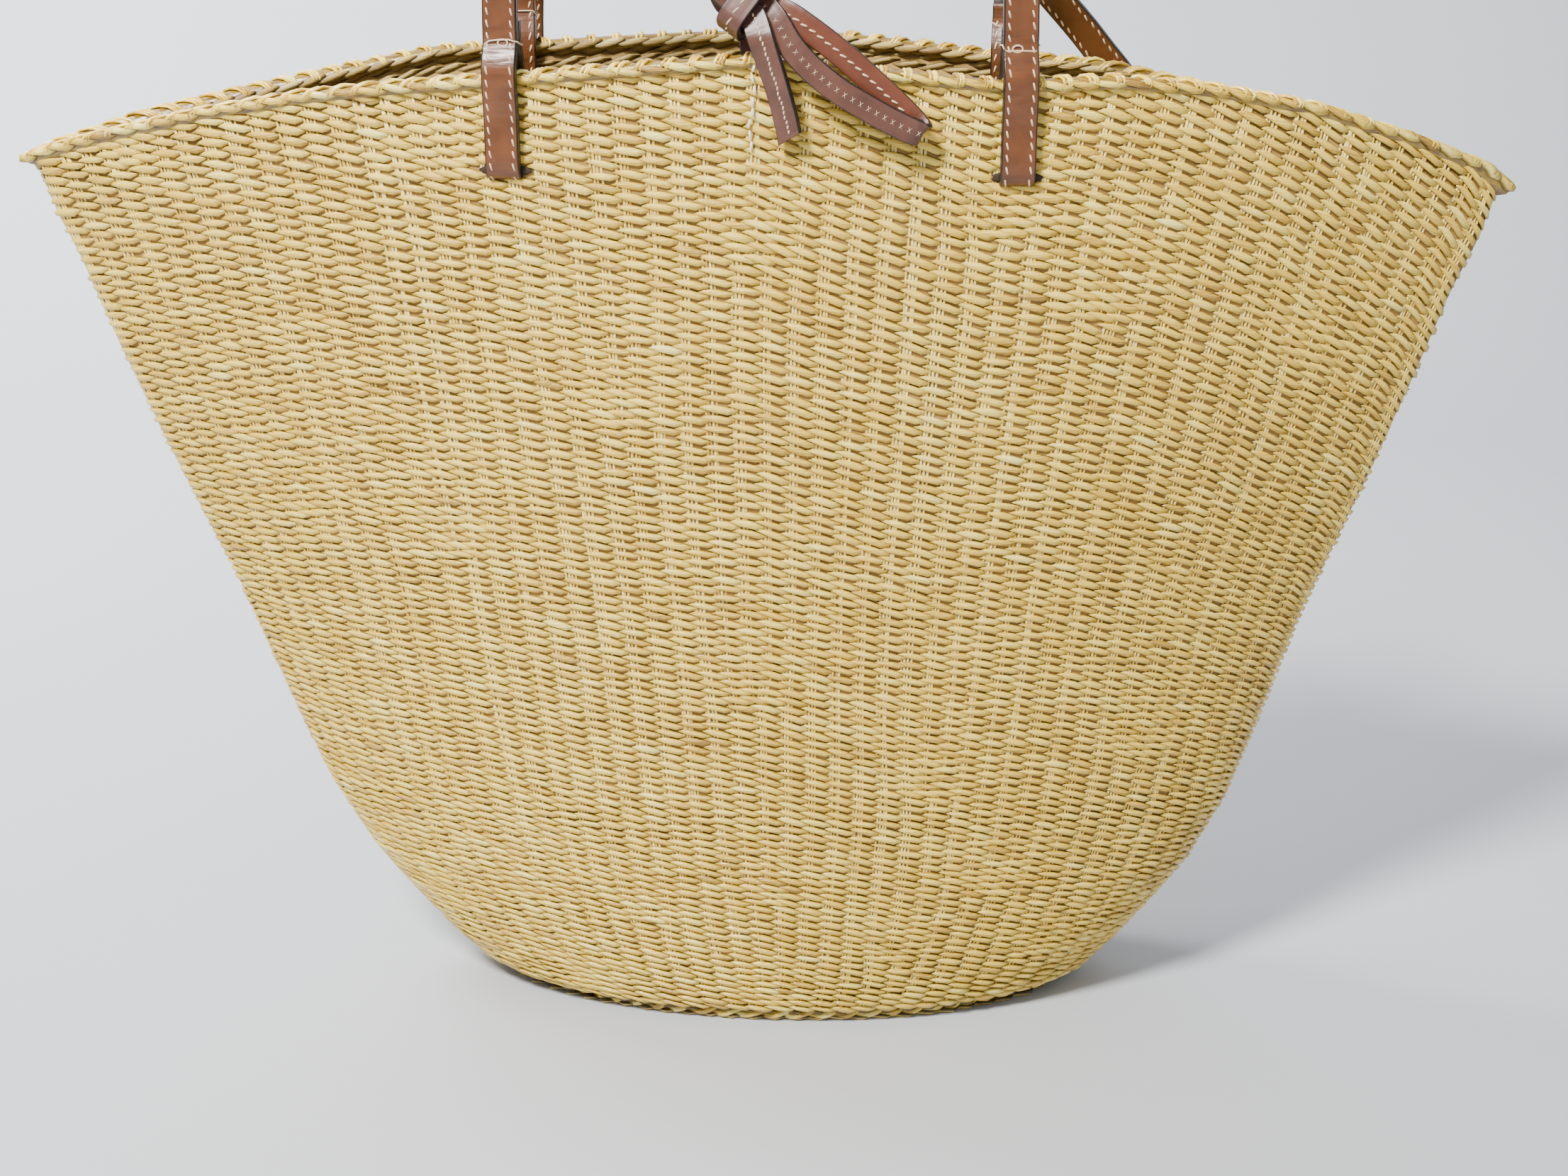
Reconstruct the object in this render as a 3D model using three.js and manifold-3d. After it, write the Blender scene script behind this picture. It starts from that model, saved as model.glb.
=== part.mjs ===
// A soft straw basket bag with two flat leather handles and a knotted leather tie.
// Millimetres, +Z up. The origin is on the floor under the middle of the base, X runs along
// the bag, and the front faces -Y.

import * as THREE from "three";
import { mergeVertices } from "three/addons/utils/BufferGeometryUtils.js";
import Module from "manifold-3d";

const wasm = await Module();
wasm.setup();

// Woven body
const MOUTH_WIDTH = 506; // tip to tip
const BASE_WIDTH = 198;
const BASE_DEPTH = 94;
const BELLY_DEPTH = 116; // fullest depth, a third of the way up
const MOUTH_DEPTH = 88; // outside of the front rim to outside of the rear rim
const HEIGHT = 345; // rim at the middle
const END_DROP = 45; // how far the rim falls to its two ends
const WALL = 3.6; // woven straw, two strands and the stakes between them
const END_SEAM = 10; // length of each end where front and rear wall meet
const LEAN = 9; // the soft bag sags to the left, so its base stands this far right of its mouth
const LOOP_POINTS = 72;

// Rolled rim and twisted base ring
const RIM_TALL = 6;
const RIM_THICK = 6.4;
const RING_WIDE = 6.6;
const RING_TALL = 5.4;
const FLOOR_EDGE = 9; // the floor is flat to this far inside the ring

// Leather handles
const STRAP_WIDE = 11.4;
const STRAP_THICK = 3;
const FRONT_SPREAD = 166; // between the middles of the two front legs
const REAR_SPREAD = 172;
const FRONT_ASIDE = 3.5; // middle of the front handle to the right of the middle of the mouth
const SLIT_DROP = 33; // slits below the top of the rim
const SLIT_CLEAR = 0.45;
const SLIT_RISE = 1.1; // middle of a slit above the lowest point of the strap's route
const STRAP_BEND = 2.5; // height that a slit leaves for the bend of the strap
const LEG_RISE = 16; // the inner end of a leg stands this far above the rim
const HANDLE_RISE = 162; // top of the upright front handle above the rim

// Leather tie
const TIE_WIDE = 8.4;
const TIE_THICK = 2.2;
const TIE_LAYER = 0.3; // air between two layers of the tie
const TIE_FAN = 2.5; // how far the straps inside the knot lie to either side of its middle

const GAP = 0.3; // between two pieces that touch

// Body outline from the floor (up 0) to the rim (up 1). spread: way from base width to mouth
// width. belly: way from base depth to belly depth. drawn: way from belly depth to mouth depth.
// lens: 0 for an oval plan, 1 for two arcs that meet in a point.
const OUTLINE = [
  { up: 0.0, spread: 0.0, belly: 0.0, drawn: 0.0, lens: 0.0 },
  { up: 0.03, spread: 0.118, belly: 0.3, drawn: 0.0, lens: 0.0 },
  { up: 0.065, spread: 0.188, belly: 0.52, drawn: 0.0, lens: 0.03 },
  { up: 0.115, spread: 0.274, belly: 0.72, drawn: 0.0, lens: 0.08 },
  { up: 0.17, spread: 0.36, belly: 0.86, drawn: 0.0, lens: 0.15 },
  { up: 0.25, spread: 0.447, belly: 0.97, drawn: 0.0, lens: 0.26 },
  { up: 0.34, spread: 0.515, belly: 1.0, drawn: 0.02, lens: 0.4 },
  { up: 0.5, spread: 0.625, belly: 1.0, drawn: 0.16, lens: 0.6 },
  { up: 0.67, spread: 0.763, belly: 1.0, drawn: 0.42, lens: 0.74 },
  { up: 0.8, spread: 0.858, belly: 1.0, drawn: 0.66, lens: 0.82 },
  { up: 0.9, spread: 0.925, belly: 1.0, drawn: 0.84, lens: 0.86 },
  { up: 0.96, spread: 0.976, belly: 1.0, drawn: 0.94, lens: 0.88 },
  { up: 1.0, spread: 1.0, belly: 1.0, drawn: 1.0, lens: 0.9 },
];

// How far the rim has dropped, as a share of END_DROP, by the distance along from the middle
// (0) to the tips (1). The soft rim dips a little under each handle.
const RIM_LINE = [
  { along: 0.0, frontLeft: 0.0, frontRight: 0.0, rearLeft: 0.0, rearRight: 0.0 },
  { along: 0.12, frontLeft: 0.055, frontRight: 0.07, rearLeft: 0.02, rearRight: 0.02 },
  { along: 0.33, frontLeft: 0.16, frontRight: 0.18, rearLeft: 0.08, rearRight: 0.145 },
  { along: 0.47, frontLeft: 0.23, frontRight: 0.155, rearLeft: 0.12, rearRight: 0.2 },
  { along: 0.59, frontLeft: 0.31, frontRight: 0.215, rearLeft: 0.255, rearRight: 0.33 },
  { along: 0.73, frontLeft: 0.455, frontRight: 0.365, rearLeft: 0.415, rearRight: 0.465 },
  { along: 0.86, frontLeft: 0.63, frontRight: 0.6, rearLeft: 0.58, rearRight: 0.665 },
  { along: 0.96, frontLeft: 0.78, frontRight: 0.82, rearLeft: 0.76, rearRight: 0.845 },
  { along: 1.0, frontLeft: 0.86, frontRight: 1.0, rearLeft: 0.86, rearRight: 1.0 },
];

// Value of one column of a table at a place on its first column.
function column(table, key, name, at) {
  let row = 1;
  while (row < table.length - 1 && table[row][key] < at) {
    row += 1;
  }
  const low = table[row - 1];
  const high = table[row];
  const share = (at - low[key]) / (high[key] - low[key]);
  return low[name] + (high[name] - low[name]) * share;
}

// Half width, half depth and lens share of the outside of the wall at a height share.
function plan(up) {
  const spread = column(OUTLINE, "up", "spread", up);
  const belly = column(OUTLINE, "up", "belly", up);
  const drawn = column(OUTLINE, "up", "drawn", up);
  const depth = BASE_DEPTH + (BELLY_DEPTH - BASE_DEPTH) * belly - (BELLY_DEPTH - MOUTH_DEPTH) * drawn;
  return {
    half: (BASE_WIDTH + (MOUTH_WIDTH - BASE_WIDTH) * spread) / 2,
    deep: depth / 2,
    lens: column(OUTLINE, "up", "lens", up),
  };
}

// Top of the rolled rim at a share along (-1 to 1), front (side -1) or rear (side 1).
function rimTop(along, side) {
  const name = (side < 0 ? "front" : "rear") + (along < 0 ? "Left" : "Right");
  return HEIGHT - END_DROP * column(RIM_LINE, "along", name, Math.min(1, Math.abs(along)));
}

function wallTop(along, side) {
  return rimTop(along, side) - RIM_TALL - GAP;
}

// How far a level of the bag stands to the right of the mouth.
function leanAt(up) {
  return LEAN * (1 - up) ** 1.6;
}

// Half width and half depth of the wall. inward: 0 on the outside of the wall, 1 on its inside.
function wallHalves(up, inward) {
  const { half, deep, lens } = plan(up);
  const seam = END_SEAM * (0.45 + 0.55 * lens);
  return { a: half - seam * inward, b: deep - WALL * inward, lens };
}

// One loop round the wall.
function wallLoop(up, inward, heightAt) {
  const { a, b, lens } = wallHalves(up, inward);
  const points = [];
  for (let i = 0; i < LOOP_POINTS; i += 1) {
    const angle = ((i + 0.5) / LOOP_POINTS) * Math.PI * 2;
    const along = Math.cos(angle);
    const side = Math.sign(Math.sin(angle));
    const y = side * b * Math.abs(Math.sin(angle)) ** (1 + lens);
    points.push(new THREE.Vector3(a * along + leanAt(up), y, heightAt(along, side)));
  }
  return points;
}

// Where the middle of the wall stands at x and height z, front (-1) or rear (1).
function wallMiddle(x, z, side) {
  let up = z / HEIGHT;
  for (let i = 0; i < 6; i += 1) {
    up = Math.min(1, z / wallTop((x - leanAt(up)) / plan(up).half, side));
  }
  const yAt = (inward) => {
    const { a, b, lens } = wallHalves(up, inward);
    return b * Math.sqrt(1 - ((x - leanAt(up)) / a) ** 2) ** (1 + lens);
  };
  return (side * (yAt(0) + yAt(1))) / 2;
}

// Closed body from loops of equal length, capped at both ends or joined last to first.
function skin(loops, joined) {
  const count = loops[0].length;
  const points = loops.flat();
  const faces = [];
  const rows = joined ? loops.length : loops.length - 1;
  for (let row = 0; row < rows; row += 1) {
    const low = row * count;
    const high = ((row + 1) % loops.length) * count;
    for (let i = 0; i < count; i += 1) {
      const next = (i + 1) % count;
      faces.push([low + i, low + next, high + next]);
      faces.push([low + i, high + next, high + i]);
    }
  }
  if (!joined) {
    const last = (loops.length - 1) * count;
    const middles = [loops[0], loops[loops.length - 1]].map((loop) => middleOf(loop));
    const first = points.length;
    points.push(...middles);
    for (let i = 0; i < count; i += 1) {
      const next = (i + 1) % count;
      faces.push([next, i, first]);
      faces.push([last + i, last + next, first + 1]);
    }
  }
  return outward(points, faces);
}

function middleOf(loop) {
  const middle = new THREE.Vector3();
  for (const point of loop) {
    middle.addScaledVector(point, 1 / loop.length);
  }
  return middle;
}

// Geometry from points and faces, turned over where the faces look inwards.
function outward(points, faces) {
  let volume = 0;
  for (const [i, j, k] of faces) {
    volume += points[i].dot(points[j].clone().cross(points[k]));
  }
  const index = faces.flatMap(([i, j, k]) => (volume > 0 ? [i, j, k] : [i, k, j]));
  const geometry = new THREE.BufferGeometry();
  geometry.setAttribute("position", new THREE.Float32BufferAttribute(points.flatMap((p) => p.toArray()), 3));
  geometry.setIndex(index);
  return geometry;
}

function toSolid(geometry) {
  return new wasm.Manifold(
    new wasm.Mesh({
      numProp: 3,
      vertProperties: new Float32Array(geometry.attributes.position.array),
      triVerts: new Uint32Array(geometry.index.array),
    }),
  );
}

function toGeometry(solid) {
  const mesh = solid.getMesh();
  const geometry = new THREE.BufferGeometry();
  geometry.setAttribute("position", new THREE.BufferAttribute(new Float32Array(mesh.vertProperties), 3));
  geometry.setIndex(new THREE.BufferAttribute(new Uint32Array(mesh.triVerts), 1));
  return geometry;
}

// Flat strap along a smooth route. Each stop is a place and the way its width runs there.
function strap(stops, wide, thick, steps, joined = false) {
  const route = new THREE.CatmullRomCurve3(stops.map((stop) => stop.at), joined, "centripetal");
  const loops = [];
  const last = joined ? steps : steps + 1;
  for (let i = 0; i < last; i += 1) {
    const share = i / steps;
    const place = share * (joined ? stops.length : stops.length - 1);
    const from = Math.min(Math.floor(place), stops.length - 1);
    const to = joined ? (from + 1) % stops.length : Math.min(from + 1, stops.length - 1);
    const along = route.getTangent(share);
    const across = stops[from].across.clone().lerp(stops[to].across, place - from);
    across.addScaledVector(along, -across.dot(along)).normalize();
    const up = along.clone().cross(across);
    const middle = route.getPoint(share);
    const corner = (w, t) =>
      middle.clone().addScaledVector(across, (w * wide) / 2).addScaledVector(up, (t * thick) / 2);
    loops.push([corner(-1, -1), corner(1, -1), corner(1, 1), corner(-1, 1)]);
  }
  return skin(loops, joined);
}

// Wall and floor of twined straw, with four slits for the handle straps.
function basketShell() {
  const ups = OUTLINE.slice(1).map((row) => row.up);
  const outer = ups.map((up) => wallLoop(up, 0, (along, side) => up * wallTop(along, side)));
  const inner = ups.map((up) => wallLoop(up, 1, (along, side) => up * wallTop(along, side)));
  const under = wallLoop(0, 0, () => 0).map(pullIn(RING_WIDE + GAP));
  const step = wallLoop(0, 0, () => RING_TALL * 0.9).map(pullIn(RING_WIDE + GAP));
  const floor = wallLoop(0, 0, () => WALL).map(pullIn(RING_WIDE + FLOOR_EDGE));
  inner[0] = inner[0].map((point) => point.clone().setZ(point.z + WALL));
  let solid = toSolid(skin([under, step, ...outer, ...inner.reverse(), floor], false));
  for (const side of [-1, 1]) {
    for (const end of [-1, 1]) {
      solid = solid.subtract(slit(end, side));
    }
  }
  return toGeometry(solid);
}

// Moves a point of the base towards the middle of the base by a distance.
function pullIn(distance) {
  return (point) => {
    const x = point.x - LEAN;
    const flat = Math.hypot(x, point.y);
    const share = (flat - distance) / flat;
    return new THREE.Vector3(LEAN + x * share, point.y * share, point.z);
  };
}

function legX(end, side) {
  return side < 0 ? FRONT_ASIDE + (end * FRONT_SPREAD) / 2 : (end * REAR_SPREAD) / 2;
}

function rimOverLeg(end, side) {
  return rimTop(legX(end, side) / (MOUTH_WIDTH / 2), side);
}

// The way the wall runs past a leg, seen from above.
function wallRun(end, side) {
  const x = legX(end, side);
  const z = rimOverLeg(end, side) - RIM_TALL;
  const step = STRAP_WIDE / 2;
  const rise = wallMiddle(x + step, z, side) - wallMiddle(x - step, z, side);
  return new THREE.Vector3(2 * step, rise, 0).normalize();
}

// Block that cuts one slit, high enough for the strap as it turns under the wall.
function slit(end, side) {
  const x = legX(end, side);
  const z = rimOverLeg(end, side) - SLIT_DROP;
  const run = wallRun(end, side);
  const wide = STRAP_WIDE + 2 * SLIT_CLEAR;
  const tall = STRAP_THICK + 2 * SLIT_CLEAR + STRAP_BEND;
  const block = new THREE.BoxGeometry(wide, WALL * 4, tall);
  block.deleteAttribute("normal");
  block.deleteAttribute("uv");
  block.rotateZ(Math.atan2(run.y, run.x));
  block.translate(x, wallMiddle(x, z, side), z + SLIT_RISE);
  return toSolid(mergeVertices(block));
}

// Rolled border along the mouth.
function rimBraid() {
  const middle = 0.5;
  const swell = RIM_THICK / WALL / 2;
  const profile = [
    { inward: middle - 0.5, rise: 0 },
    { inward: middle - swell, rise: 0.4 },
    { inward: middle - swell * 0.7, rise: 0.85 },
    { inward: middle, rise: 1 },
    { inward: middle + swell * 0.7, rise: 0.85 },
    { inward: middle + swell, rise: 0.4 },
    { inward: middle + 0.5, rise: 0 },
  ];
  const loops = profile.map(({ inward, rise }) =>
    wallLoop(1, inward, (along, side) => rimTop(along, side) - RIM_TALL * (1 - rise)),
  );
  return skin(loops, true);
}

// Twisted foot ring under the edge of the base, flat where it stands on the table.
function baseRing() {
  const profile = [
    { out: -0.5, rise: 0.3 },
    { out: -0.32, rise: 0 },
    { out: 0.32, rise: 0 },
    { out: 0.5, rise: 0.4 },
    { out: 0.36, rise: 0.9 },
    { out: -0.1, rise: 0.88 },
    { out: -0.5, rise: 0.7 },
  ];
  const loops = profile.map(({ out, rise }) =>
    wallLoop(0, 0, () => rise * RING_TALL).map(pullIn(RING_WIDE * (0.5 - out))),
  );
  return skin(loops, true);
}

const ALONG_X = new THREE.Vector3(1, 0, 0);
const TO_LEFT = new THREE.Vector3(-1, 0, 0);
const TO_FRONT = new THREE.Vector3(0, -1, 0);
const UPWARDS = new THREE.Vector3(0, 0, 1);

// One leg: from its end above the rim, down inside the wall, out through the slit and up again.
// The width of the strap runs to the right on the left leg and to the left on the right leg, so
// that the same face of the leather looks outwards on both.
function legStops(end, side) {
  const x = legX(end, side);
  const top = rimOverLeg(end, side);
  const bottom = top - SLIT_DROP;
  const turn = WALL / 2 + GAP + STRAP_THICK / 2;
  const past = RIM_THICK / 2 + GAP + STRAP_THICK / 2;
  const closed = GAP / 2 + STRAP_THICK / 2;
  const run = wallRun(end, side);
  const across = run.clone().multiplyScalar(-end);
  const outwards = new THREE.Vector3(-run.y, run.x, 0).multiplyScalar(side);
  const stop = (out, z) => {
    const middle = wallMiddle(x, Math.min(z, top - RIM_TALL), side);
    return { at: new THREE.Vector3(x, middle, z).addScaledVector(outwards, out), across };
  };
  return [
    stop(-closed, top + LEG_RISE),
    stop(-closed - 0.3, top + LEG_RISE * 0.6),
    stop(-past - 0.2, top + 1),
    stop(-past - 0.2, top - RIM_TALL),
    stop(-turn - 0.5, top - SLIT_DROP * 0.45),
    stop(-turn, bottom + turn * 1.2),
    stop(-turn * 0.72, bottom + turn * 0.3),
    stop(0, bottom),
    stop(turn * 0.72, bottom + turn * 0.3),
    stop(turn, bottom + turn * 1.2),
    stop(turn + 0.5, top - SLIT_DROP * 0.45),
    stop(past + 0.2, top - RIM_TALL),
    stop(past + 0.2, top + 1),
    stop(closed + 0.3, top + LEG_RISE * 0.6),
    stop(closed, top + LEG_RISE),
  ];
}

// Upright handle: an arch whose strap turns from facing the front to lying flat on top.
function frontHandle() {
  const side = -1;
  const left = legStops(-1, side);
  const right = legStops(1, side).reverse();
  const y = left[left.length - 1].at.y;
  const top = HEIGHT + HANDLE_RISE;
  const arch = [
    { share: -0.97, rise: 0.38, turn: 0.1 },
    { share: -0.84, rise: 0.66, turn: 0.45 },
    { share: -0.5, rise: 0.9, turn: 0.9 },
    { share: 0, rise: 1, turn: 1 },
    { share: 0.5, rise: 0.9, turn: 0.9 },
    { share: 0.84, rise: 0.66, turn: 0.45 },
    { share: 0.97, rise: 0.38, turn: 0.1 },
  ].map(({ share, rise, turn }) => ({
    at: new THREE.Vector3(FRONT_ASIDE + (share * FRONT_SPREAD) / 2, y, top - (1 - rise) * HANDLE_RISE),
    across: (share < 0 ? ALONG_X : TO_LEFT).clone().lerp(TO_FRONT, turn),
  }));
  return strap([...left, ...arch, ...right], STRAP_WIDE, STRAP_THICK, 150);
}

// Rear handle: it has dropped back over the rim and hangs behind the bag, pushed to the right.
function rearHandle() {
  const side = 1;
  const left = legStops(-1, side);
  const right = legStops(1, side).reverse();
  const back = left[left.length - 1].at.y;
  const half = REAR_SPREAD / 2;
  const loop = [
    { share: -0.99, back: 8, drop: -26, turn: 0 },
    { share: -1.0, back: 22, drop: -20, turn: 0.1 },
    { share: -1.03, back: 33, drop: 6, turn: 0.15 },
    { share: -1.02, back: 41, drop: 50, turn: 0.2 },
    { share: -0.78, back: 46, drop: 100, turn: 0.5 },
    { share: -0.1, back: 48, drop: 135, turn: 0.95 },
    { share: 0.65, back: 49, drop: 138, turn: 0.95 },
    { share: 1.25, back: 48, drop: 112, turn: 0.6 },
    { share: 1.55, back: 44, drop: 66, turn: 0.2 },
    { share: 1.56, back: 40, drop: 30, turn: 0 },
    { share: 1.38, back: 34, drop: 8, turn: 0 },
    { share: 1.15, back: 24, drop: -14, turn: 0 },
    { share: 1.04, back: 9, drop: -24, turn: 0 },
  ].map((row) => ({
    at: new THREE.Vector3(row.share * half, back + row.back, HEIGHT - row.drop),
    across: (row.share < 0.2 ? ALONG_X : TO_LEFT).clone().lerp(UPWARDS, row.turn),
  }));
  return strap([...left, ...loop, ...right], STRAP_WIDE, STRAP_THICK, 170);
}

// The knot sits on the front rim. Places near it are given from the middle of that rim: x,
// out (away from the middle of the wall, to the front) and up (above the rim).
function atFrontRim(x, out, up) {
  return new THREE.Vector3(x, -(MOUTH_DEPTH - WALL) / 2 - out, HEIGHT + up);
}

const KNOT_MIDDLE = atFrontRim(0, 1.5, 15);
const KNOT_AXIS = new THREE.Vector3(0.8, -0.22, -0.55).normalize();
const KNOT_FRONT = new THREE.Vector3(0.03, -0.95, 0.32);
KNOT_FRONT.addScaledVector(KNOT_AXIS, -KNOT_FRONT.dot(KNOT_AXIS)).normalize();
const KNOT_ACROSS = KNOT_FRONT.clone().cross(KNOT_AXIS);
const LAYER = TIE_THICK + TIE_LAYER;
const HALF = TIE_WIDE / 2;
const PAST_RIM = RIM_THICK / 2 + GAP + TIE_THICK / 2; // middle of a strap that lies against the rim

// A place in the knot: along its axis, by layer from the back (-1.5) to the front (1.5), and on
// its upper (1) or lower (-1) side.
function inKnot(along, layer, upper) {
  return KNOT_MIDDLE.clone()
    .addScaledVector(KNOT_AXIS, along)
    .addScaledVector(KNOT_FRONT, layer * LAYER)
    .addScaledVector(KNOT_ACROSS, upper * TIE_FAN);
}

// Band of the knot: the strap wrapped once round the four layers inside it.
function tieKnot() {
  const wide = HALF + TIE_FAN + 1.5 + TIE_THICK / 2;
  const deep = 2 * LAYER + 0.7 + TIE_THICK / 2;
  const stops = [];
  for (let i = 0; i < 12; i += 1) {
    const angle = ((i + 0.5) / 12) * Math.PI * 2;
    const squared = (value, size) => Math.sign(value) * Math.abs(value) ** 0.45 * size;
    const at = KNOT_MIDDLE.clone()
      .addScaledVector(KNOT_ACROSS, squared(Math.cos(angle), wide))
      .addScaledVector(KNOT_FRONT, squared(Math.sin(angle), deep));
    stops.push({ at, across: KNOT_AXIS });
  }
  return strap(stops, TIE_WIDE, TIE_THICK, 36, true);
}

// Loop of the bow: out of the knot, down to the right over the rim, and back behind itself.
function tieLoop() {
  const lean = new THREE.Vector3(0.62, 0, 0.78);
  const route = [
    inKnot(-HALF, 0.5, 1),
    inKnot(0, 0.5, 1),
    inKnot(HALF, 0.5, 1),
    atFrontRim(9.4, 5.6, 10.2),
    atFrontRim(13.8, 7.4, 3.3),
    atFrontRim(19.6, 8.6, -3.1),
    atFrontRim(28.3, 9.7, -10),
    atFrontRim(37.3, 9.7, -15.4),
    atFrontRim(46.2, 9.5, -20.2),
    atFrontRim(53, 9.2, -23.3),
    atFrontRim(55.4, 7.8, -23.7),
    atFrontRim(54, 6.5, -21.6),
    atFrontRim(50.6, 6, -18),
    atFrontRim(41.9, 5.7, -10),
    atFrontRim(30.6, 5.5, -0.2),
    atFrontRim(19.4, 5.2, 8.2),
    atFrontRim(12, 3.6, 12.6),
    inKnot(HALF, -0.5, 1),
    inKnot(0, -0.5, 1),
    inKnot(-HALF, -0.5, 1),
  ];
  const stops = route.map((at, i) => ({
    at,
    across: i < 3 || i > route.length - 4 ? KNOT_ACROSS.clone() : lean,
  }));
  return strap(stops, TIE_WIDE, TIE_THICK, 80);
}

// Front strap: sewn inside the front wall, up behind the rim and over into the knot.
function tieFrontStrap() {
  const behind = (x, up) => {
    const wall = wallMiddle(x, HEIGHT + up, -1) + (MOUTH_DEPTH - WALL) / 2;
    return atFrontRim(x, -wall - PAST_RIM - 0.2, up);
  };
  const stops = [
    { at: behind(1.5, -38), across: ALONG_X },
    { at: behind(1.5, -22), across: ALONG_X },
    { at: behind(1.5, -7), across: ALONG_X },
    { at: atFrontRim(1.2, -PAST_RIM - 2.2, 2), across: ALONG_X },
    { at: atFrontRim(-0.5, -PAST_RIM - 6.5, 10), across: ALONG_X },
    { at: atFrontRim(-4.5, -PAST_RIM - 7, 18), across: new THREE.Vector3(0.95, 0, 0.3) },
    { at: atFrontRim(-9.5, -PAST_RIM - 3, 22), across: KNOT_ACROSS },
    { at: inKnot(-HALF - 3, -1.5, -1), across: KNOT_ACROSS },
    { at: inKnot(-HALF, -1.5, -1), across: KNOT_ACROSS },
    { at: inKnot(0, -1.5, -1), across: KNOT_ACROSS },
    { at: inKnot(HALF, -1.5, -1), across: KNOT_ACROSS },
  ];
  return strap(stops, TIE_WIDE, TIE_THICK, 48);
}

// Rear strap: sewn inside the rear wall, across the mouth, through the knot and down in front.
function tieRearStrap() {
  const rear = (up, more) => {
    const y = wallMiddle(0, HEIGHT + Math.min(up, -RIM_TALL), 1) - PAST_RIM - more;
    return { at: new THREE.Vector3(0, y, HEIGHT + up), across: ALONG_X };
  };
  const front = (x, out, up, across = ALONG_X) => ({ at: atFrontRim(x, out, up), across });
  const knot = (along) => ({ at: inKnot(along, 1.5, -1), across: KNOT_ACROSS });
  const span = MOUTH_DEPTH - WALL;
  const stops = [
    rear(-38, 0.2),
    rear(-20, 0.2),
    rear(-4, 0.4),
    rear(3, 3.2),
    rear(8, 9),
    front(-4, -span * 0.55, 15),
    front(-11, -span * 0.3, 22),
    front(-15.5, -6, 26, new THREE.Vector3(0.8, -0.3, 0.4)),
    front(-13, 3.5, 24, KNOT_ACROSS),
    knot(-HALF),
    knot(0),
    knot(HALF),
    front(4.4, 10, 6),
    front(7.4, 10.3, -2),
    front(10, 9.6, -10),
    front(12.2, 8.4, -18.1),
    front(13.5, 7.6, -24),
    front(14.2, 7.3, -27),
  ];
  return strap(stops, TIE_WIDE, TIE_THICK, 84);
}

function piece(name, geometry, color, roughness) {
  const material = new THREE.MeshStandardMaterial({ color, roughness, metalness: 0 });
  const mesh = new THREE.Mesh(geometry, material);
  mesh.name = name;
  return mesh;
}

const STRAW = 0xcdb178;
const DARK_STRAW = 0xb89a5e;
const CHESTNUT = 0x7a4630;
const DARK_CHESTNUT = 0x6b3d2b;

const bag = new THREE.Group();
bag.name = "straw_basket_bag";
bag.add(
  piece("basket_shell", basketShell(), STRAW, 0.7),
  piece("rim_braid", rimBraid(), DARK_STRAW, 0.7),
  piece("base_ring", baseRing(), DARK_STRAW, 0.75),
  piece("handle_front", frontHandle(), CHESTNUT, 0.5),
  piece("handle_rear", rearHandle(), CHESTNUT, 0.5),
  piece("tie_knot", tieKnot(), DARK_CHESTNUT, 0.5),
  piece("tie_loop", tieLoop(), DARK_CHESTNUT, 0.5),
  piece("tie_front_strap", tieFrontStrap(), CHESTNUT, 0.5),
  piece("tie_rear_strap", tieRearStrap(), CHESTNUT, 0.5),
);

export default bag;
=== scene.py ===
import math

import bmesh
import bpy
import numpy as np
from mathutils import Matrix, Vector


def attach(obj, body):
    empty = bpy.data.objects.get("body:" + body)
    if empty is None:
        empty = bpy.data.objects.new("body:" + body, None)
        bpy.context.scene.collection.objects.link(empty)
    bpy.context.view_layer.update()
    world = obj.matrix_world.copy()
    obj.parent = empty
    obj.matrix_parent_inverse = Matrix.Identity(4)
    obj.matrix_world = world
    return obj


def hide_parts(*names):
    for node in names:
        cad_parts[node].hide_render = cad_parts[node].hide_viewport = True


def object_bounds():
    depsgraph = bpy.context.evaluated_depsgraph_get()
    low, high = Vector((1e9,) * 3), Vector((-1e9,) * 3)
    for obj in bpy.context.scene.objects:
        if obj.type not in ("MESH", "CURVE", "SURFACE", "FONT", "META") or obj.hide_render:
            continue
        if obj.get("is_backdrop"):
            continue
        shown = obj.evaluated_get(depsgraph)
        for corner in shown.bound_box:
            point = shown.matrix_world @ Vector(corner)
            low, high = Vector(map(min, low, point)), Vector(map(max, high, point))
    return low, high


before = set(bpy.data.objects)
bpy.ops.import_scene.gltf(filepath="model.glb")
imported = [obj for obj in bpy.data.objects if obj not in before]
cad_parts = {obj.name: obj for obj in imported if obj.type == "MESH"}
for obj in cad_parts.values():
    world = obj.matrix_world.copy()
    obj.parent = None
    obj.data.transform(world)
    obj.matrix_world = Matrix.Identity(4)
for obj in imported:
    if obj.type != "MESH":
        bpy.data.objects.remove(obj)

cad_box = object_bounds()
rng = np.random.default_rng(11)

# The studio: a pale table that curves up behind the bag, a soft lamp high on the left, a weak one
# on the right, one on the rise of the table, and the eye 0.8 m in front of the bag.
EYE_AWAY = 0.803
EYE_HIGH = 0.421
EYE_TURN = math.radians(3.0)
EYE_TILT = math.radians(18.6)
EYE_ASIDE = 0.0093
LENS = 53.7

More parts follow.
